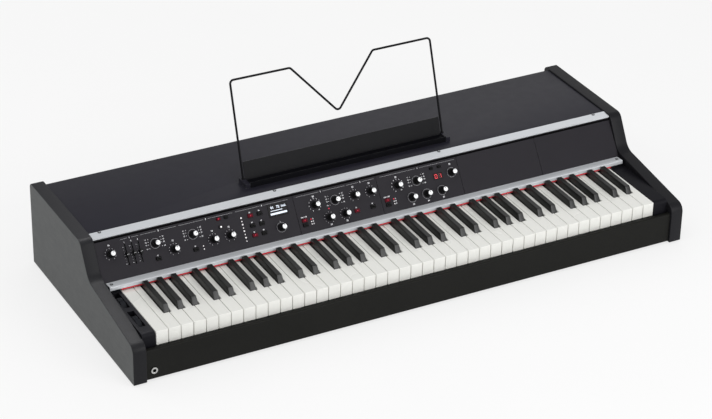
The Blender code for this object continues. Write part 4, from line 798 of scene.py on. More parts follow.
@dataclass
class Case:
    """Cheeks, boards, cover, rail, blocks and trim."""

    half_width: float = 0.558
    cheek_round: float = 0.0013
    cheek_corners: tuple[Triple, ...] = ((0, 0, 0.0018), (0, 0.0755, 0.018), (0.190, 0.1044, 0.028),
                                         (0.225, 0.166, 0.016), (0.462, 0.166, 0.009), (0.462, 0, 0.0018))
    screw_radius: float = 0.0029
    screw_height: float = 0.0014
    screw_rows: dict[str, tuple[tuple[float, ...], float, Pair, Pair]] = field(default_factory=lambda: {
        "upper": ((-0.5138, -0.1736, 0.1666, 0.5068), 0.2424, (0.2264, 0.1626), (0.2450, 0.1646)),
        "lower": ((-0.522, 0.522), 0.1745, (0.1643, 0.0976), (0.1836, 0.0960))})
    recess: Pair = (0.16, 0.62)
    felt_x: Pair = (-0.5073, 0.5028)
    felt_y: Pair = (0.1646, 0.1691)
    felt_z: Pair = (0.0872, 0.0899)
    felt_jog: float = 0.00007
    # Span up the slope and thickness of the painted shadow line under the upper strip
    gasket_low: float = 0.0726
    gasket_high: float = 0.0756
    gasket_thick: float = 0.0004

    def build(self) -> None:
        """Make the cheeks, the felt, the screws and the painted shadow line under the upper strip."""
        outline = rounded(self.cheek_corners, 14)
        hold = self.cheek_round + 0.0003
        for name, side in (("left_cheek", -1), ("right_cheek", 1)):
            low, high = sorted((side * INNER, side * self.half_width))
            edges = wall(low, high, self.cheek_round, self.cheek_round, 5)
            Shell().solid(slab(outline, [(hold, low)] + edges + [(hold, high)]), axes=(2, 0, 1)).piece(
                f"{name}_moulding", [CHEEK], "root", Slot.CHEEK, [name])
        self.felt()
        self.screws()
        self.gasket()

    def felt(self) -> None:
        """A felt strip: a rounded section carried along x, with every point jogged by a little noise."""
        random = np.random.default_rng(11)
        (front, back), (low, high) = self.felt_y, self.felt_z
        section = rounded([(front, low, 0.0005), (back, low, 0.0005), (back, high, 0.0009),
                           (front, high, 0.0009)], 3)
        along = np.linspace(*self.felt_x, 620)
        jog = random.normal(0, self.felt_jog, (len(along), len(section), 2))
        stations = np.broadcast_to(along[:, None, None], (*jog.shape[:2], 1))
        rings = np.concatenate((stations, section[None] + jog), -1)
        Shell().solid(rings).piece("felt_strip", [FELT], "root", Slot.FELT, ["key_felt"], sharp=80.0)

    def screw(self, place: Place, shell: Shell) -> None:
        """A pan head with a cross recess: dome height less a cross-shaped dip, on a radius and angle grid.

        Args:
            place: Frame on the strip, with z along the screw.
            shell: Shell that takes the head.
        """
        radius = np.linspace(0, 1, 18)[:, None]
        angle = np.linspace(0, 2 * math.pi, 48, endpoint=False)[None]
        x, y = radius * np.cos(angle), radius * np.sin(angle)
        height = self.screw_height * (1 - radius ** 4 * 0.55)
        (thin, long), soft = self.recess, 0.25
        one_arm = np.maximum(np.abs(x) / thin, np.abs(y) / long)
        other_arm = np.maximum(np.abs(y) / thin, np.abs(x) / long)
        dip = np.clip(1 + soft - np.minimum(one_arm, other_arm), 0, soft) / soft * self.screw_height * 0.6
        level = np.broadcast_to(height, x.shape) - dip
        dome = np.stack((x * self.screw_radius, y * self.screw_radius, level), -1)
        skirt = dome[-1:] * np.array((1.0, 1.0, 0.0)) - np.array((0.0, 0.0, 0.0003))
        shell.grid(np.concatenate((dome, skirt)), place, wrap=True)
        shell.face(skirt[0], place)

    def screws(self) -> None:
        """Dark screws over the heads on the strips, square to each strip from its front to its back edge."""
        for strip, (places, y, front, back) in self.screw_rows.items():
            tilt = math.atan2(back[1] - front[1], back[0] - front[0])
            top = front[1] + (y - front[0]) * math.tan(tilt)
            shell = Shell()
            for x in places:
                self.screw(Place((x, y, top), (1, 0, 0), (0, math.cos(tilt), math.sin(tilt)),
                                 (0, -math.sin(tilt), math.cos(tilt))), shell)
            shell.piece(f"{strip}_strip_screws", [SCREW], "root", Slot.METAL)

    def gasket(self) -> None:
        """A thin near-black sheet along the top of the panels, under the upper strip's lip: a painted shadow
        for the shade in the gap between strip and panel.
        """
        end = 0.0004
        low = (end, self.gasket_low, 0.00002)
        high = (2 * INNER - end, self.gasket_high, self.gasket_thick)
        Shell().box(low, high, on_panel("main"), radius=0.0001).piece(
            "strip_gasket", [SHADOW_LINE_BLACK], "root", Slot.FOOT)

    def dress(self) -> None:
        """Finish the CAD boards, panels and strips."""
        for name, finish in {
            "bottom_board": BOARD, "back_board": BOARD, "top_cover": LID, "front_rail": RAIL,
            "left_key_block": BLOCK, "right_key_block": BLOCK, "main_control_panel": PANEL,
            "control_module_1": PANEL, "control_module_2": PANEL, "blank_module_1": PANEL,
            "blank_module_2": PANEL, "upper_trim_strip": METAL, "lower_trim_strip": METAL,
            "key_frame": STEEL, "control_circuit_board": CIRCUIT, "rear_socket_board": CIRCUIT,
            "rear_plate": PANEL, "text_display": GLASS, "digit_display": RED_GLASS,
            "music_stand_tray": WIRE, "power_switch": BUTTON, "main_panel_buttons": BUTTON,
            "module_1_buttons": BUTTON, "module_2_buttons": BUTTON,
        }.items():
            dress_node(name, finish)


# Keyboard


@dataclass
class Keyboard:
    """White keys in two moulded sets, and the black keys."""

    white_count: int = 43
    first_note: int = 2
    gap: float = 0.001
    front: float = 0.018
    back: float = 0.255
    thick: float = 0.018
    face: float = 0.027
    edge: float = 0.0009
    corner: float = 0.0012
    step_corner: float = 0.0006
    lip: float = 0.004
    rail_high: float = 0.0035
    rail_back: float = 0.262
    stick_half: float = 0.00525
    stick_inset: float = 0.0022
    black_half: float = 0.00615
    black_top_half: float = 0.0047
    black_front: float = 0.068
    black_back: float = 0.163
    black_slope: float = 0.010
    black_rise: float = 0.0115
    # Shift of a black key from the joint of its two white keys, by the note of the left one, from C = 0
    black_shift: dict[int, float] = field(default_factory=lambda: {
        0: -0.0028, 1: 0.0028, 3: -0.0035, 4: 0.0, 5: 0.0035})
    rails: dict[str, float] = field(default_factory=lambda: {
        "white_keys_a": 0.0845, "white_keys_b": 0.0790, "black_keys": 0.0735})

    def blacks(self) -> list[float]:
        """Middles of the black keys."""
        shift = self.black_shift
        notes = [(i, (i + self.first_note) % 7) for i in range(self.white_count - 1)]
        return [KEYS_LEFT + (i + 1) * KEY_PITCH + shift[note] for i, note in notes if note in shift]

    def white_outline(self, left: float, right: float) -> Array:
        """Plan of one white key, narrowed beside its black neighbours.

        Args:
            left: Left side of the key's front.
            right: Right side of it.

        Returns:
            Outline points, counter-clockwise.
        """
        reach, step = self.black_half + self.gap, self.black_front - self.gap
        low_cut = [c + reach for c in self.blacks() if c - reach < left < c + reach]
        high_cut = [c - reach for c in self.blacks() if c - reach < right < c + reach]
        corners = [(left, self.front, self.corner), (right, self.front, self.corner)]
        if high_cut:
            corners += [(right, step, self.corner), (high_cut[0], step, self.step_corner)]
        corners.append((high_cut[0] if high_cut else right, self.back, 0.0))
        corners.append((low_cut[0] if low_cut else left, self.back, 0.0))
        if low_cut:
            corners += [(low_cut[0], step, self.step_corner), (left, step, self.corner)]
        return rounded(corners, 4)

    def rail(self, shell: Shell, name: str) -> None:
        """The rail that joins a set of keys behind their tails.

        Args:
            shell: Shell of that set.
            name: Name of the set.
        """
        top = self.rails[name]
        low = (KEYS_LEFT + KEY_PITCH / 2, self.back - 0.0002, top - self.rail_high)
        shell.box(low, (KEYS_LEFT + (self.white_count - 0.5) * KEY_PITCH, self.rail_back, top))

    def build(self) -> None:
        """Make the three sets of keys."""
        for name, odd in (("white_keys_a", 0), ("white_keys_b", 1)):
            shell = Shell()
            for i in range(odd, self.white_count, 2):
                left = KEYS_LEFT + i * KEY_PITCH + self.gap / 2
                right = left + KEY_PITCH - self.gap
                outline = self.white_outline(left, right)
                profile = wall(KEY_TOP - self.thick, KEY_TOP, self.edge) + [(self.edge + 0.00015, KEY_TOP)]
                shell.solid(slab(outline, profile))
                lip = rounded([(left, self.front, self.corner), (right, self.front, self.corner),
                               (right, self.front + self.lip, 0), (left, self.front + self.lip, 0)], 4)
                foot = KEY_TOP - self.face
                head = KEY_TOP - self.thick - 0.00002
                shell.solid(slab(lip, [(0.0004, foot), (0, foot + 0.0004), (0, head)]))
            self.rail(shell, name)
            shell.piece(f"{name}_moulding", [WHITE], name, Slot.WHITE_KEY, [name])
        shell = Shell()
        for centre in self.blacks():
            shell.solid(self.black_cap(centre))
            shell.box((centre - self.stick_half, self.black_front + self.stick_inset, KEY_TOP - self.thick),
                      (centre + self.stick_half, self.back, KEY_TOP - self.stick_inset))
        self.rail(shell, "black_keys")
        shell.piece("black_keys_moulding", [BLACK], "black_keys", Slot.BLACK_KEY, ["black_keys"])

    def black_cap(self, centre: float) -> Array:
        """Rings of a raised key, whose half width and front move with height until a crown rounds over.

        Args:
            centre: Middle of the key.

        Returns:
            Rings from the base to the crown.
        """
        low, high, crown = KEY_TOP - 0.0057, KEY_TOP + self.black_rise, 0.0009
        turn = np.linspace(0, math.pi / 2, 6)
        share = np.concatenate(([0.0], 1 - crown / (high - low) * (1 - np.sin(turn)), [1.0]))
        inset = np.concatenate(([0.0], crown * (1 - np.cos(turn)), [crown + 0.0002]))
        rings = []
        for part, over in zip(share, inset):
            half = self.black_half + (self.black_top_half - self.black_half) * part - over
            start = self.black_front + self.black_slope * part ** 1.15 + over
            end = self.black_back - over
            outline = rounded([(centre - half, start, 0.0007), (centre + half, start, 0.0007),
                               (centre + half, end, 0.0006), (centre - half, end, 0.0006)], 4)
            rings.append(np.column_stack((outline, np.full(len(outline), low + (high - low) * part))))
        return np.stack(rings)


@dataclass
class ThumbWheel:
    """A ribbed thumb wheel with a finger groove, on a stub axle."""

    name: str
    y: float
    x: float = -0.5206
    z: float = 0.0602
    radius: float = 0.026
    half: float = 0.0048
    groove: float = 0.0045
    ribs: int = 96
    rib_depth: float = 0.00035
    stub: Pair = (0.0084, 0.002)

    def build(self) -> None:
        """Turn the wheel about x.

        The rim's radius is less by ribs, a raised cosine that repeats round the rim, and by a circular
        groove at the top.
        """
        angle = np.linspace(0, 2 * math.pi, 480, endpoint=False)
        off_top = np.abs((angle + math.pi) % (2 * math.pi) - math.pi) * self.radius
        dip = np.maximum(np.sqrt(np.maximum(self.groove ** 2 - off_top ** 2, 0)) - self.groove / 2, 0)
        away = np.clip((off_top - self.groove) / 0.002, 0, 1)
        ribs = self.rib_depth * (0.5 + 0.5 * np.cos(self.ribs * angle)) * away
        reach, thin = self.stub
        across = np.array([-reach, -reach, -self.half, -self.half, -self.half + 0.0003, -self.half + 0.0009,
                           self.half - 0.0009, self.half - 0.0003, self.half, self.half, reach, reach])
        base = np.array([0.0, thin, thin, self.radius - 0.0009, self.radius - 0.0003, self.radius,
                         self.radius, self.radius - 0.0003, self.radius - 0.0009, thin, thin, 0.0])
        rim = (base > self.radius - 0.002)[:, None]
        ribbed = (base >= self.radius)[:, None]
        radius = base[:, None] - rim * dip[None] - ribbed * ribs[None]
        rings = np.stack((np.broadcast_to(across[:, None], radius.shape), radius * np.sin(angle),
                          radius * np.cos(angle)), -1)
        Shell().grid(rings, Place((self.x, self.y, self.z)), wrap=True).piece(
            f"{self.name}_rim", [WHEEL], self.name, Slot.WHEEL, [self.name], sharp=50.0)


# Controls


@dataclass
class Knob:
    """A fluted black knob with a spun cap and a pointer, and the scale printed round it."""

    name: str
    panel: str
    along: float
    up: float
    scale: Tick = Tick.DOTS
    turned: float = 0.0
    label: str = ""
    label_up: float = 0.0155
    radius: float = 0.0066
    height: float = 0.0165
    cap_radius: float = 0.0043
    shaft_radius: float = 0.003
    shaft_depth: float = 0.003

    def build(self) -> None:
        """Turn the body and the cap; the pointer is a short stroke on the cap."""
        place = on_panel(self.panel, self.along, self.up)
        r, h = self.radius, self.height
        thin, deep = self.shaft_radius, -self.shaft_depth
        body = [(0, deep, 0), (thin, deep, 0), (thin, 0.0005, 0), (r - 0.0003, 0.0005, 0), (r, 0.0008, 0),
                (r, 0.0030, 0), (r - 0.0002, 0.0034, 0), (r - 0.0006, 0.0037, 0), (r - 0.0006, 0.0042, 1),
                (0.0057, 0.0095, 1), (0.0055, h - 0.0018, 1), (0.0053, h - 0.0010, 0.3),
                (0.0050, h - 0.0006, 0), (0.0048, h - 0.0005, 0), (0, h - 0.0005, 0)]
        Shell().grid(lathe(body, 144, 24, 0.0006), place, wrap=True).piece(
            f"{self.name}_grip", [KNOB], self.name, Slot.KNOB, [self.name], sharp=50.0)
        c = self.cap_radius
        cap = [(0, h - 0.0012), (c, h - 0.0012), (c, h - 0.0002), (c - 0.0002, h), (c - 0.0007, h),
               (c - 0.0009, h - 0.0002), (c * 0.5, h - 0.00018), (0.0004, h - 0.00016), (0, h - 0.00016)]
        shell = Shell().grid(lathe(cap, 64), place, wrap=True)
        turn = math.radians(90 - self.turned)
        tip = np.array((math.cos(turn), math.sin(turn)))
        path = np.linspace(0.0012, c - 0.0009, 3)[:, None] * tip
        stroke = ribbon(path, 0.0011)
        outline = np.concatenate((stroke[0], stroke[1][::-1]))[:, :2]
        shell.solid(slab(outline, [(0, h - 0.0005), (0, h - 0.00008), (0.0001, h - 0.00004)]), place, 1)
        shell.piece(f"{self.name}_cap", [CAP, POINTER], self.name, Slot.KNOB)

    def print_scale(self, ink: Shell) -> None:
        """Print the knob's scale: a ring, dots, numbers, or two columns of numbered dots.

        Args:
            ink: Shell of the panel's print.
        """
        place = on_panel(self.panel, self.along, self.up)
        if self.label:
            ink.text(self.label, 0.0040, (0, self.label_up), place)
        if self.scale in (Tick.RING, Tick.CHOICES):
            ink.grid(ribbon(circle((0, 0), 0.0088, steps=64)[:-1], 0.00045, True), place, 1, wrap=True)
        if self.scale in (Tick.DOTS, Tick.NUMBERS):
            for step in range(11):
                turn = math.radians(240 - 30 * step)
                spoke = np.array((math.cos(turn), math.sin(turn)))
                if self.scale is Tick.NUMBERS:
                    ink.text(str(step), 0.0028, tuple(spoke * 0.0116), place)
                else:
                    ink.dot(tuple(spoke * 0.0102), 0.0005, place)
        if self.scale is Tick.CHOICES:
            for number, up in enumerate((0.0095, 0.0047, -0.0001, -0.0070)):
                for side, first in ((-1, 11), (1, 21)):
                    ink.dot((side * (0.0128 - 0.1 * abs(up)), up), 0.0006, place)
                    ink.text(str(first + number), 0.0029, (side * 0.0168, up), place)


@dataclass
class Slider:
    """A slider cap with a finger groove and a white line."""

    name: str
    along: float
    up: float = 0.0403

    def build(self) -> None:
        """A side outline with a sunk top, given thickness with rounded edges."""
        place = on_panel("main", self.along, self.up)
        side = rounded([(-0.00425, 0.0006, 0.0003), (0.00425, 0.0006, 0.0003), (0.00325, 0.0086, 0.0005),
                        (0.0011, 0.0076, 0.0009), (-0.0011, 0.0076, 0.0009), (-0.00325, 0.0086, 0.0005)], 4)
        shell = Shell().solid(slab(side, wall(-0.0025, 0.0025, 0.0004, 0.0004, 3)), place, axes=(2, 0, 1))
        shell.box((-0.0006, -0.002, -0.003), (0.0006, 0.002, 0.002), place, radius=0.0001)
        shell.box((-0.0022, -0.00022, 0.0074), (0.0022, 0.00022, 0.00768), place, 1, 0.00005)
        shell.piece(f"{self.name}_cap", [KNOB, INK], self.name, Slot.KNOB, [self.name])


@dataclass
class ButtonSet:
    """Skins on the button caps of one panel: plain ones, red lit ones and ones with a clear lens."""

    name: str
    panel: str
    plain: tuple[Pair, ...]
    red: tuple[Pair, ...] = ()
    small: tuple[Pair, ...] = ()
    small_red: tuple[Pair, ...] = ()
    small_lens: tuple[Pair, ...] = ()
    large_size: Pair = (0.0095, 0.0062)
    small_size: Pair = (0.0070, 0.0045)
    rise: float = 0.0025
    skin: float = 0.00012

    def build(self) -> None:
        """A rounded cap over each button, with a shallow dish in its top."""
        large, small = self.large_size, self.small_size
        groups = {
            "caps": ([(at, *large) for at in self.plain] + [(at, *small) for at in self.small], BUTTON, None),
            "red_caps": ([(at, *large) for at in self.red] + [(at, *small) for at in self.small_red],
                         RED_BUTTON, BUTTON_EYE),
            "lens_caps": ([(at, *small) for at in self.small_lens], BUTTON, LENS)}
        for part, (buttons, finish, eye) in groups.items():
            if not buttons:
                continue
            shell = Shell()
            for (along, up), width, height in buttons:
                place = on_panel(self.panel, along, up)
                outline = box_outline(width + 2 * self.skin, height + 2 * self.skin, 0.0006)
                top = self.rise + self.skin
                dish = [(0.0013, top), (0.0018, top - 0.00009)]
                profile = [(0.0, -0.0015)] + wall(-0.0004, top, 0.0005, 0, 4) + dish
                shell.solid(slab(outline, profile), place)
                if eye:
                    r = 0.0017 if eye is LENS else 0.0010
                    rings = lathe([(0, top - 0.0004), (r, top - 0.0004), (r, top), (r * 0.7, top + 0.00012),
                                   (0, top + 0.0002)], 24)
                    shell.grid(rings, place, 1, wrap=True)
            shell.piece(f"{self.name}_{part}", [finish] + ([eye] if eye else []), self.name, Slot.BUTTON)


@dataclass
class Controls:
    """Everything on the sloping panels: knobs, sliders, buttons, lamps, displays and print."""

    knobs: list[Knob] = field(default_factory=lambda: [
        Knob("volume_knob", "main", 0.0265, 0.0478, label="10"),
        Knob("main_knob_1", "main", 0.1110, 0.0478, Tick.CHOICES, -60),
        Knob("main_knob_2", "main", 0.1435, 0.0300, label="12"),
        Knob("main_selector_knob", "main", 0.1835, 0.0478, Tick.CHOICES, 60),
        Knob("main_knob_3", "main", 0.2195, 0.0300, label="14"),
        Knob("main_knob_4", "main", 0.2525, 0.0300, label="15"),
        Knob("encoder_knob", "main", 0.3515, 0.0225, Tick.RING),
        Knob("module_1_knob_1", "module_1", 0.0395, 0.0475, Tick.NUMBERS, label="20"),
        Knob("module_1_selector_knob", "module_1", 0.0805, 0.0475, Tick.CHOICES, -60),
        Knob("module_1_knob_2", "module_1", 0.1205, 0.0475, label="22"),
        Knob("module_1_knob_3", "module_1", 0.1540, 0.0475, label="23"),
        Knob("module_1_knob_4", "module_1", 0.0620, 0.0190, label="24", label_up=-0.0132),
        Knob("module_1_knob_5", "module_1", 0.0945, 0.0190, label="25", label_up=-0.0132),
        Knob("module_2_knob_1", "module_2", 0.0395, 0.0465, Tick.NUMBERS, label="30"),
        Knob("module_2_selector_knob", "module_2", 0.0795, 0.0465, Tick.CHOICES, 30),
        Knob("module_2_knob_2", "module_2", 0.1540, 0.0465, Tick.RING, label="32"),
        Knob("module_2_knob_3", "module_2", 0.0630, 0.0185, Tick.RING, label="33", label_up=-0.0130),
        Knob("module_2_knob_4", "module_2", 0.0940, 0.0185, Tick.RING, label="34", label_up=-0.0130),
        Knob("module_2_knob_5", "module_2", 0.1260, 0.0185, Tick.RING, label="35", label_up=-0.0130),
    ])
    sliders: tuple[Pair, ...] = ((1, 0.0555), (2, 0.0685), (3, 0.0810))
    headers: dict[str, tuple[Pair, ...]] = field(default_factory=lambda: {
        "main": ((0.050, 0.084), (0.088, 0.1563), (0.1612, 0.266), (0.2717, 0.3761)),
        "module_1": ((0.0067, 0.106), (0.1088, 0.1663)),
        "module_2": ((0.0083, 0.1657),)})
    header_up: float = 0.0686
    button_marks: dict[str, tuple[Pair, ...]] = field(default_factory=lambda: {
        "main": ((0.1105, 0.0261), (0.1825, 0.0261), (0.2980, 0.0616), (0.2980, 0.0432), (0.2980, 0.0256),
                 (0.3165, 0.0616), (0.3165, 0.0432), (0.3165, 0.0256)),
        "module_1": ((0.1180, 0.0246), (0.1510, 0.0251)),
        "module_2": ()})
    panes: dict[str, tuple[str, float, float, float, float]] = field(default_factory=lambda: {
        "text_display": ("main", 0.3530, 0.0550, 0.0380, 0.0215),
        "digit_display": ("module_2", 0.1247, 0.0455, 0.018, 0.011)})
    lamp_column: float = 0.2797
    lamp_pitch: float = 0.012

    def build(self) -> None:
        """Make every control and its print."""
        for knob in self.knobs:
            knob.build()
        for number, along in self.sliders:
            Slider(f"slider_{number}", along).build()
        grid = ((0.2980, 0.0376), (0.3165, 0.0560), (0.3165, 0.0376), (0.3165, 0.0200))
        ButtonSet("main_panel_buttons", "main", ((0.1105, 0.0205), (0.1825, 0.0205)) + grid,
                  ((0.2980, 0.0560), (0.2980, 0.0200)), ((0.2520, 0.0635),), ((0.2370, 0.0635),),
                  ((0.2380, 0.0487),)).build()
        ButtonSet("module_1_buttons", "module_1", ((0.0122, 0.0158), (0.1510, 0.0195)),
                  ((0.0122, 0.0242), (0.1180, 0.0190))).build()
        ButtonSet("module_2_buttons", "module_2", ((0.0122, 0.0158),), ((0.0122, 0.0242),),
                  ((0.1145, 0.0622), (0.1312, 0.0622))).build()
        self.lamps()
        self.displays()
        for panel in PANEL_LEFTS:
            self.print_panel(panel)

    def lamps(self) -> None:
        """Round lenses with a rim: big and small ones in a column, and small ones beside the switches."""
        big = [("main", self.lamp_column, 0.0555 - self.lamp_pitch * k) for k in range(4)]
        small = [("main", self.lamp_column, 0.0493 - self.lamp_pitch * k) for k in range(4)]
        small += [("main", 0.1975, 0.0232), ("main", 0.1975, 0.0176)]
        small += [(panel, 0.0250, up) for panel in ("module_1", "module_2") for up in (0.0195, 0.0150)]
        red = [("module_1", 0.0645, 0.0350), ("module_1", 0.0250, 0.0240), ("module_2", 0.0250, 0.0240)]
        for name, places, radius, finish in (("big_lamps", big, 0.0016, LENS),
                                             ("small_lamps", small, 0.0011, LENS),
                                             ("red_lamps", red, 0.0010, RED_EYE)):
            shell = Shell()
            turn = np.linspace(0, math.pi / 2, 7)
            dome = np.stack((radius * np.cos(turn), 0.0003 + 0.7 * radius * np.sin(turn)), 1).tolist()
            rim = [(radius, 0.0), (radius + 0.0003, 0.0), (radius + 0.0003, 0.0003),
                   (radius + 0.0001, 0.0004), (radius - 0.0001, 0.0003), (radius - 0.0001, 0.0)]
            for panel, along, up in places:
                place = on_panel(panel, along, up)
                shell.grid(lathe([(0, 0.00002), (radius, 0.00002)] + dome, 28), place, wrap=True)
                shell.grid(lathe(rim + rim[:1], 28), place, 1, wrap=True)
            shell.piece(name, [finish, BUTTON], "root", Slot.DISPLAY)

    def displays(self) -> None:
        """Frames round both panes, with plain bars and numbers as their contents."""
        for name, (panel, along, up, width, height) in self.panes.items():
            outline = box_outline(width + 0.0012, height + 0.0012, 0.0008)
            profile = [(0, 0.00002), (0, 0.0005), (0.0002, 0.0007), (0.0009, 0.0007), (0.0010, GLASS_RISE),
                       (0.0010, 0.00002)]
            Shell().grid(slab(outline, profile + profile[:1]), on_panel(panel, along, up), wrap=True).piece(
                f"{name}_frame", [BUTTON], "root", Slot.DISPLAY)
        glass = {name: on_panel(*pane[:3]).lifted(GLASS_RISE) for name, pane in self.panes.items()}
        self.bars(glass["text_display"])
        self.digits("01", glass["digit_display"])

    def bars(self, glass: Place) -> None:
        """Contents of the text display: two numbers, a row of levels and two long bars.

        Args:
            glass: Frame on the middle of the pane.
        """
        marks = Shell()
        for number, along in (("01", -0.0105), ("72", 0.0010)):
            marks.text(number, 0.0062, (along, 0.0052), glass)
        for i in range(9):
            along, high = 0.0075 + i * 0.0011, 0.0008 + 0.0030 * abs(math.sin(1.1 * i + 0.6))
            marks.line([(along, 0.0032), (along, 0.0036 + high)], 0.0007, glass)
        for start, end, up, thick in ((-0.0150, 0.0085, -0.0006, 0.0011), (-0.0160, 0.0165, -0.0062, 0.0034)):
            marks.line([(start, up), ((start + end) / 2, up), (end, up)], thick, glass)
        marks.piece("text_display_marks", [MARK], "root", Slot.DISPLAY, closed=False)

    def digits(self, number: str, glass: Place) -> None:
        """Seven-segment digits: each segment is a short bar, bright if lit, and dim red with a faint painted
        glow if not.

        Args:
            number: Two digits, 0 or 1 each.
            glass: Frame on the middle of the pane.
        """
        w, h = 0.0022, 0.0037
        bars = {"a": ((-w, h), (w, h)), "b": ((w, h), (w, 0)), "c": ((w, 0), (w, -h)),
                "d": ((-w, -h), (w, -h)), "e": ((-w, 0), (-w, -h)), "f": ((-w, h), (-w, 0)),
                "g": ((-w, 0), (w, 0))}
        lit = {"0": "abcdef", "1": "bc"}
        shell = Shell()
        for digit, middle in zip(number, (-0.0042, 0.0042)):
            for bar, ends in bars.items():
                start, end = (np.array(p) + (middle, 0) for p in ends)
                step = (end - start) * 0.1
                path = np.stack((start + step, (start + end) / 2, end - step))
                shell.line(path, 0.00085, glass, 0 if bar in lit[digit] else 1)
        shell.piece("digit_display_digits", [DIGIT, DIM_DIGIT], "root", Slot.DISPLAY, closed=False)

    def print_panel(self, panel: str) -> None:
        """White print on one panel: section lines with numbers, scales and index marks.

        Args:
            panel: Name of the panel.
        """
        ink, place = Shell(), on_panel(panel)
        for number, (start, end) in enumerate(self.headers[panel], 1):
            middle = (start + end) / 2
            for low, high in ((start, middle - 0.004), (middle + 0.004, end)):
                ink.line([(low, self.header_up), (high, self.header_up)], 0.00038, place, 1)
            ink.text(str(number), 0.0040, (middle, self.header_up), place)
        for knob in self.knobs:
            if knob.panel == panel:
                knob.print_scale(ink)
        for number, at in enumerate(self.button_marks[panel], 1):
            ink.text(f"{number:02d}", 0.0030, at, place)
        if panel == "main":
            self.print_sliders(ink, place)
            ink.line([(0.3515, 0.0312), (0.3515, 0.0345)], 0.0004, place)
        else:
            ink.text("ON / OFF", 0.0030, (0.0125, 0.0302), place)
            for number, up in enumerate((0.0240, 0.0195, 0.0150), 1):
                ink.text(f"{number:02d}", 0.0027, (0.0290, up), place)
        ink.piece(f"{panel}_print", [INK, PALE_INK], "root", Slot.PANEL, closed=False)

    def print_sliders(self, ink: Shell, place: Place) -> None:
        """A number over each slider and seven marks beside it, with every third mark long and white.

        Args:
            ink: Shell of the panel's print.
            place: Frame of the panel.
        """
        for number, along in self.sliders:
            ink.text(str(number), 0.0030, (along, 0.0626), place)
            middle = along - 0.0042
            for step in range(7):
                up, half, slot = 0.0243 + 0.005 * step, 0.0006, 1
                if step % 3 == 0:
                    half, slot = 0.0012, 0
                ink.line([(middle - half, up), (middle + half, up)], 0.0004, place, slot)


# Music stand, sockets and feet


@dataclass
class MusicStand:
    """The bent wire and the bushes that its feet stand in."""

    x: float = -0.004
    y: float = 0.292
    z: float = 0.163
    lean: float = math.radians(18)
    radius: float = 0.002
    bend: float = 0.007
    bracket_high: float = 0.0085
    corners: tuple[Pair, ...] = ((-0.2070, 0.0025), (-0.2055, 0.19085), (-0.0850, 0.1904), (0.0, 0.0925),
                                 (0.0850, 0.1904), (0.2055, 0.19085), (0.2070, 0.0025))

    def place(self) -> Place:
        """Frame of the leaning plane: x along, y up it, z towards the player."""
        sin, cos = math.sin(self.lean), math.cos(self.lean)
        return Place((self.x, self.y, self.z), (1.0, 0.0, 0.0), (0.0, sin, cos), (0.0, -cos, sin))

    def route(self) -> Array:
        """Straight runs joined by arcs, as an outline with the closing side left out."""
        bends = [0.0] + [self.bend] * (len(self.corners) - 2) + [0.0]
        closed = rounded([(x, up, bend) for (x, up), bend in zip(self.corners, bends)], 10)
        start = int(np.argmin(np.abs(closed - np.array(self.corners[-1])).sum(1)))
        return np.roll(closed, -start, 0)

    def build(self) -> None:
        """A round section carried along the route: its circle lies across the route's direction."""
        path = self.route()
        turn = np.linspace(0, 2 * math.pi, 20, endpoint=False)
        flat = path[:, None] + beside(path)[:, None] * (self.radius * np.cos(turn))[None, :, None]
        rings = raised(flat, (self.radius * np.sin(turn))[None, :, None])
        Shell().solid(rings, self.place()).piece("music_stand_rod", [WIRE], "music_stand", Slot.WIRE,
                                                 ["music_stand_wire"], sharp=50.0)
        shell = Shell()
        up = self.bracket_high / math.cos(self.lean)
        for foot_x, _ in (self.corners[0], self.corners[-1]):
            bush = Place((self.x + foot_x, self.y + up * math.sin(self.lean), self.z + self.bracket_high))
            ring = [(0.0024, -0.001), (0.0033, -0.001), (0.0033, 0.0005), (0.0031, 0.0008), (0.0026, 0.0008),
                    (0.0024, 0.0005), (0.0024, -0.001)]
            shell.grid(lathe(ring, 32), bush, wrap=True)
        shell.piece("stand_bushes", [RUBBER], "root", Slot.WIRE)


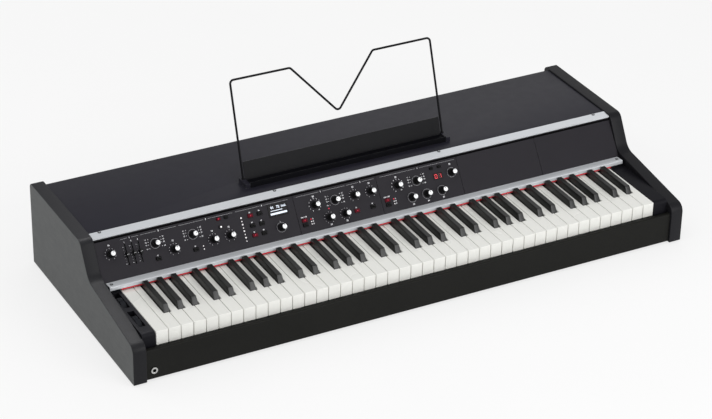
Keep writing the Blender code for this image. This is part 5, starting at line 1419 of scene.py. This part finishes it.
@dataclass
class Sockets:
    """Nuts and rings of the sockets, the rear print, and the feet."""

    jack_x: tuple[float, ...] = (0.145, 0.172, 0.199, 0.226)
    socket_z: float = 0.044
    rear_y: float = 0.4508
    computer_x: float = 0.262
    switch_x: float = 0.335
    headphone_at: Triple = (-0.518, 0.0048, 0.0184)
    foot_x: float = 0.470
    foot_y: dict[str, float] = field(default_factory=lambda: {"front": 0.045, "rear": 0.415})

    def knurled(self, profile: Sequence[Pair], beyond: float) -> Array:
        """A turned nut with fine flutes on its rows beyond a radius."""
        return lathe([(r, h, 1.0 if r > beyond else 0.0) for r, h in profile], 144, 36, 0.0002)

    def build(self) -> None:
        """Make the headphone jack, the rear nuts, shells and print, and the feet."""
        face = 0.0021
        bore = [(0, -0.0255), (0.0045, -0.0255), (0.0045, 0.0003), (0.0064, 0.0003), (0.0064, 0.0016),
                (0.0061, face), (0.0042, face), (0.0039, face - 0.0003), (0.0033, face - 0.0003),
                (0.0033, -0.0235), (0, -0.0235)]
        Shell().grid(self.knurled(bore, 0.006), on_front(*self.headphone_at), wrap=True).piece(
            "headphone_nut", [NICKEL], "root", Slot.STEEL, ["headphone_jack"], sharp=50.0)
        ring = [(0.0046, 0.0001), (0.0066, 0.0001), (0.0066, 0.0019), (0.0063, 0.0023), (0.0040, 0.0023),
                (0.0035, 0.0020), (0.0034, -0.0060), (0.0046, -0.0060), (0.0046, 0.0001)]
        shell = Shell()
        for x in self.jack_x:
            shell.grid(self.knurled(ring, 0.0055), on_back(x, self.rear_y, self.socket_z), wrap=True)
        shell.piece("rear_jack_nuts", [NICKEL], "root", Slot.STEEL, sharp=50.0)
        self.usb()
        self.print_rear()
        self.feet()

    def usb(self) -> None:
        """A thin metal shell round the computer socket and its tongue."""
        place = on_back(self.computer_x, self.rear_y, self.socket_z)
        outline = box_outline(0.0086, 0.0076, 0.0008)
        profile = [(0, 0.0011), (0, 0.0015), (0.0004, 0.0015), (0.0004, -0.0110), (0, -0.0110), (0, 0.0011)]
        shell = Shell().grid(slab(outline, profile), place, wrap=True)
        shell.box((-0.0028, -0.0016, -0.0125), (0.0028, 0.0016, -0.0010), place, 1, 0.0002)
        shell.piece("computer_socket_shell", [NICKEL, BUTTON], "root", Slot.STEEL)

    def print_rear(self) -> None:
        """Numbers over the jacks, a frame round them, and the switch's two signs."""
        ink, place = Shell(), on_back(0.0, self.rear_y, 0.0)
        for number, x in enumerate(self.jack_x, 1):
            ink.text(str(number), 0.004, (-x, self.socket_z + 0.0125), place)
        for sign, up in (("I", 0.0175), ("O", -0.0175)):
            ink.text(sign, 0.004, (-self.switch_x, self.socket_z + up), place)
        frame_line = box_outline(0.106, 0.036, 0.002) + np.array((-0.1855, self.socket_z + 0.002))
        ink.grid(ribbon(frame_line, 0.0004, True), place, wrap=True)
        ink.piece("rear_print", [INK], "root", Slot.PANEL, closed=False)

    def feet(self) -> None:
        """Rubber feet with a rounded rim and a sunk middle."""
        profile = [(0, 0.0017), (0.0105, 0.0017), (0.0110, 0.0012), (0.0110, -0.0018), (0.0106, -0.0026),
                   (0.0098, -0.003), (0.0050, -0.003), (0.0044, -0.0024), (0.0040, -0.0010), (0, -0.0010)]
        for end, y in self.foot_y.items():
            for side, x in (("left", -self.foot_x), ("right", self.foot_x)):
                name = f"{end}_{side}_foot"
                Shell().grid(lathe(profile, 48), Place((x, y, 0.0)), wrap=True).piece(
                    f"{name}_rubber", [RUBBER], "root", Slot.FOOT, [name])


# Studio


@dataclass(frozen=True)
class Lamp:
    """A soft square lamp aimed at the middle of the object; it lights all of it or some pieces only."""

    name: str
    at: Triple
    size: float
    power: float
    only: tuple[str, ...] = ()

    def build(self) -> None:
        """Hang the lamp, and link it to its own pieces if it has any."""
        light = bpy.data.lights.new(self.name, "AREA")
        light.size, light.energy = self.size, self.power
        obj = bpy.data.objects.new(self.name, light)
        obj.location = self.at
        aim = Vector((0.0, 0.0, 0.1)) - Vector(self.at)
        obj.rotation_euler = aim.to_track_quat("-Z", "Y").to_euler()
        bpy.context.scene.collection.objects.link(obj)
        if self.only:
            lit = bpy.data.collections.new(f"{self.name}_pieces")
            for piece in self.only:
                lit.objects.link(bpy.data.objects[piece])
            obj.light_linking.receiver_collection = lit


@dataclass
class Studio:
    """Pale floor, soft lamps, world and camera."""

    focal: float = 123.45
    sensor: float = 36.0
    azimuth: float = math.radians(-28.474)
    elevation: float = math.radians(29.44)
    roll: float = math.radians(1.122)
    position: Triple = (-1.87644, -3.43757, 2.30080)
    floor_size: float = 24.0
    floor_drop: float = 0.0002
    floor_glow: float = 0.72
    fill: float = 0.55
    gloss_fill: float = 0.42
    backdrop: float = 1.0
    lamps: tuple[Lamp, ...] = (
        Lamp("key_light", (-0.9, -0.9, 3.0), 2.2, 25.0),
        Lamp("front_light", (1.1, -3.0, 1.4), 2.0, 52.0),
        Lamp("side_light", (-2.2, 1.6, 1.0), 1.8, 14.0),
        Lamp("back_light", (1.5, 1.9, 1.5), 1.5, 4.0),
        Lamp("corner_light", (0.05, 0.91, 2.19), 1.2, 36.0, ("left_cheek_moulding", "left_key_block")))

    def build(self) -> None:
        """Set up the view, then the floor, the world, the lamps and the camera."""
        bpy.context.scene.view_settings.view_transform = "Standard"
        self.floor()
        self.world()
        for lamp in self.lamps:
            lamp.build()
        self.camera()

    def floor(self) -> None:
        """A pale floor whose own white is seen by the camera and in reflections, under a real shadow."""
        graph = Graph("pale_floor")
        path = graph.add("ShaderNodeLightPath").outputs
        seen = graph.math("MAXIMUM", path["Is Camera Ray"],
                          graph.math("MAXIMUM", path["Is Glossy Ray"], path["Is Transmission Ray"]))
        tone = graph.span(graph.noise(3.0, 4.0), 0.3, 0.7, 0.86, 0.88)
        colour = graph.add("ShaderNodeCombineColor", Red=tone, Green=tone, Blue=tone).outputs[0]
        diffuse = graph.add("ShaderNodeBsdfDiffuse", Color=colour).outputs[0]
        glow = graph.add("ShaderNodeEmission", Color=(1, 1, 1, 1), Strength=1.0).outputs[0]
        share = graph.math("MULTIPLY", seen, self.floor_glow)
        mixed = graph.add("ShaderNodeMixShader", i0=share, i1=diffuse, i2=glow).outputs[0]
        graph.links.new(mixed, graph.surface.inputs[0])
        half, low = self.floor_size / 2, -self.floor_drop
        mesh = bpy.data.meshes.new("floor")
        corners = [(-half, -half, low), (half, -half, low), (half, half, low), (-half, half, low)]
        mesh.from_pydata(corners, [], [(0, 1, 2, 3)])
        mesh.materials.append(graph.material)
        floor = bpy.data.objects.new("floor", mesh)
        bpy.context.scene.collection.objects.link(floor)

    def world(self) -> None:
        """White where the camera looks past the floor; softer light on the object and in its gloss."""
        world = bpy.data.worlds.new("studio_world")
        bpy.context.scene.world = world
        world.use_nodes = True
        nodes, links = world.node_tree.nodes, world.node_tree.links
        nodes.clear()
        out, path = nodes.new("ShaderNodeOutputWorld"), nodes.new("ShaderNodeLightPath")
        shades = []
        for strength in (self.fill, self.gloss_fill, self.backdrop):
            shade = nodes.new("ShaderNodeBackground")
            shade.inputs["Color"].default_value = (1.0, 1.0, 1.0, 1.0)
            shade.inputs["Strength"].default_value = strength
            shades.append(shade.outputs[0])
        last = shades[0]
        for ray, shade in (("Is Glossy Ray", shades[1]), ("Is Camera Ray", shades[2])):
            mixed = nodes.new("ShaderNodeMixShader")
            links.new(path.outputs[ray], mixed.inputs[0])
            links.new(last, mixed.inputs[1])
            links.new(shade, mixed.inputs[2])
            last = mixed.outputs[0]
        links.new(last, out.inputs[0])

    def camera(self) -> None:
        """The camera from the fitted view: its back axis from azimuth and elevation, then the roll."""
        sin_a, cos_a = math.sin(self.azimuth), math.cos(self.azimuth)
        sin_e, cos_e = math.sin(self.elevation), math.cos(self.elevation)
        back = Vector((sin_a * cos_e, -cos_a * cos_e, sin_e))
        right = (-back).cross(Vector((0, 0, 1))).normalized()
        up = right.cross(-back)
        cos_r, sin_r = math.cos(self.roll), math.sin(self.roll)
        turned = Matrix((right * cos_r + up * sin_r, up * cos_r - right * sin_r, back)).transposed().to_4x4()
        data = bpy.data.cameras.new("camera")
        data.lens, data.sensor_width, data.sensor_fit = self.focal, self.sensor, "HORIZONTAL"
        obj = bpy.data.objects.new("camera", data)
        obj.matrix_world = Matrix.Translation(self.position) @ turned
        bpy.context.scene.collection.objects.link(obj)
        bpy.context.scene.camera = obj


def main() -> None:
    """Build and dress every sub-assembly, then light it."""
    logging.basicConfig(level=logging.INFO, format="%(name)s %(message)s")
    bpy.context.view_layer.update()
    case = Case()
    case.build()
    case.dress()
    Keyboard().build()
    ThumbWheel("modulation_wheel", 0.0708).build()
    ThumbWheel("pitch_wheel", 0.1370).build()
    Controls().build()
    MusicStand().build()
    Sockets().build()
    Studio().build()


if __name__ == "__main__":
    main()
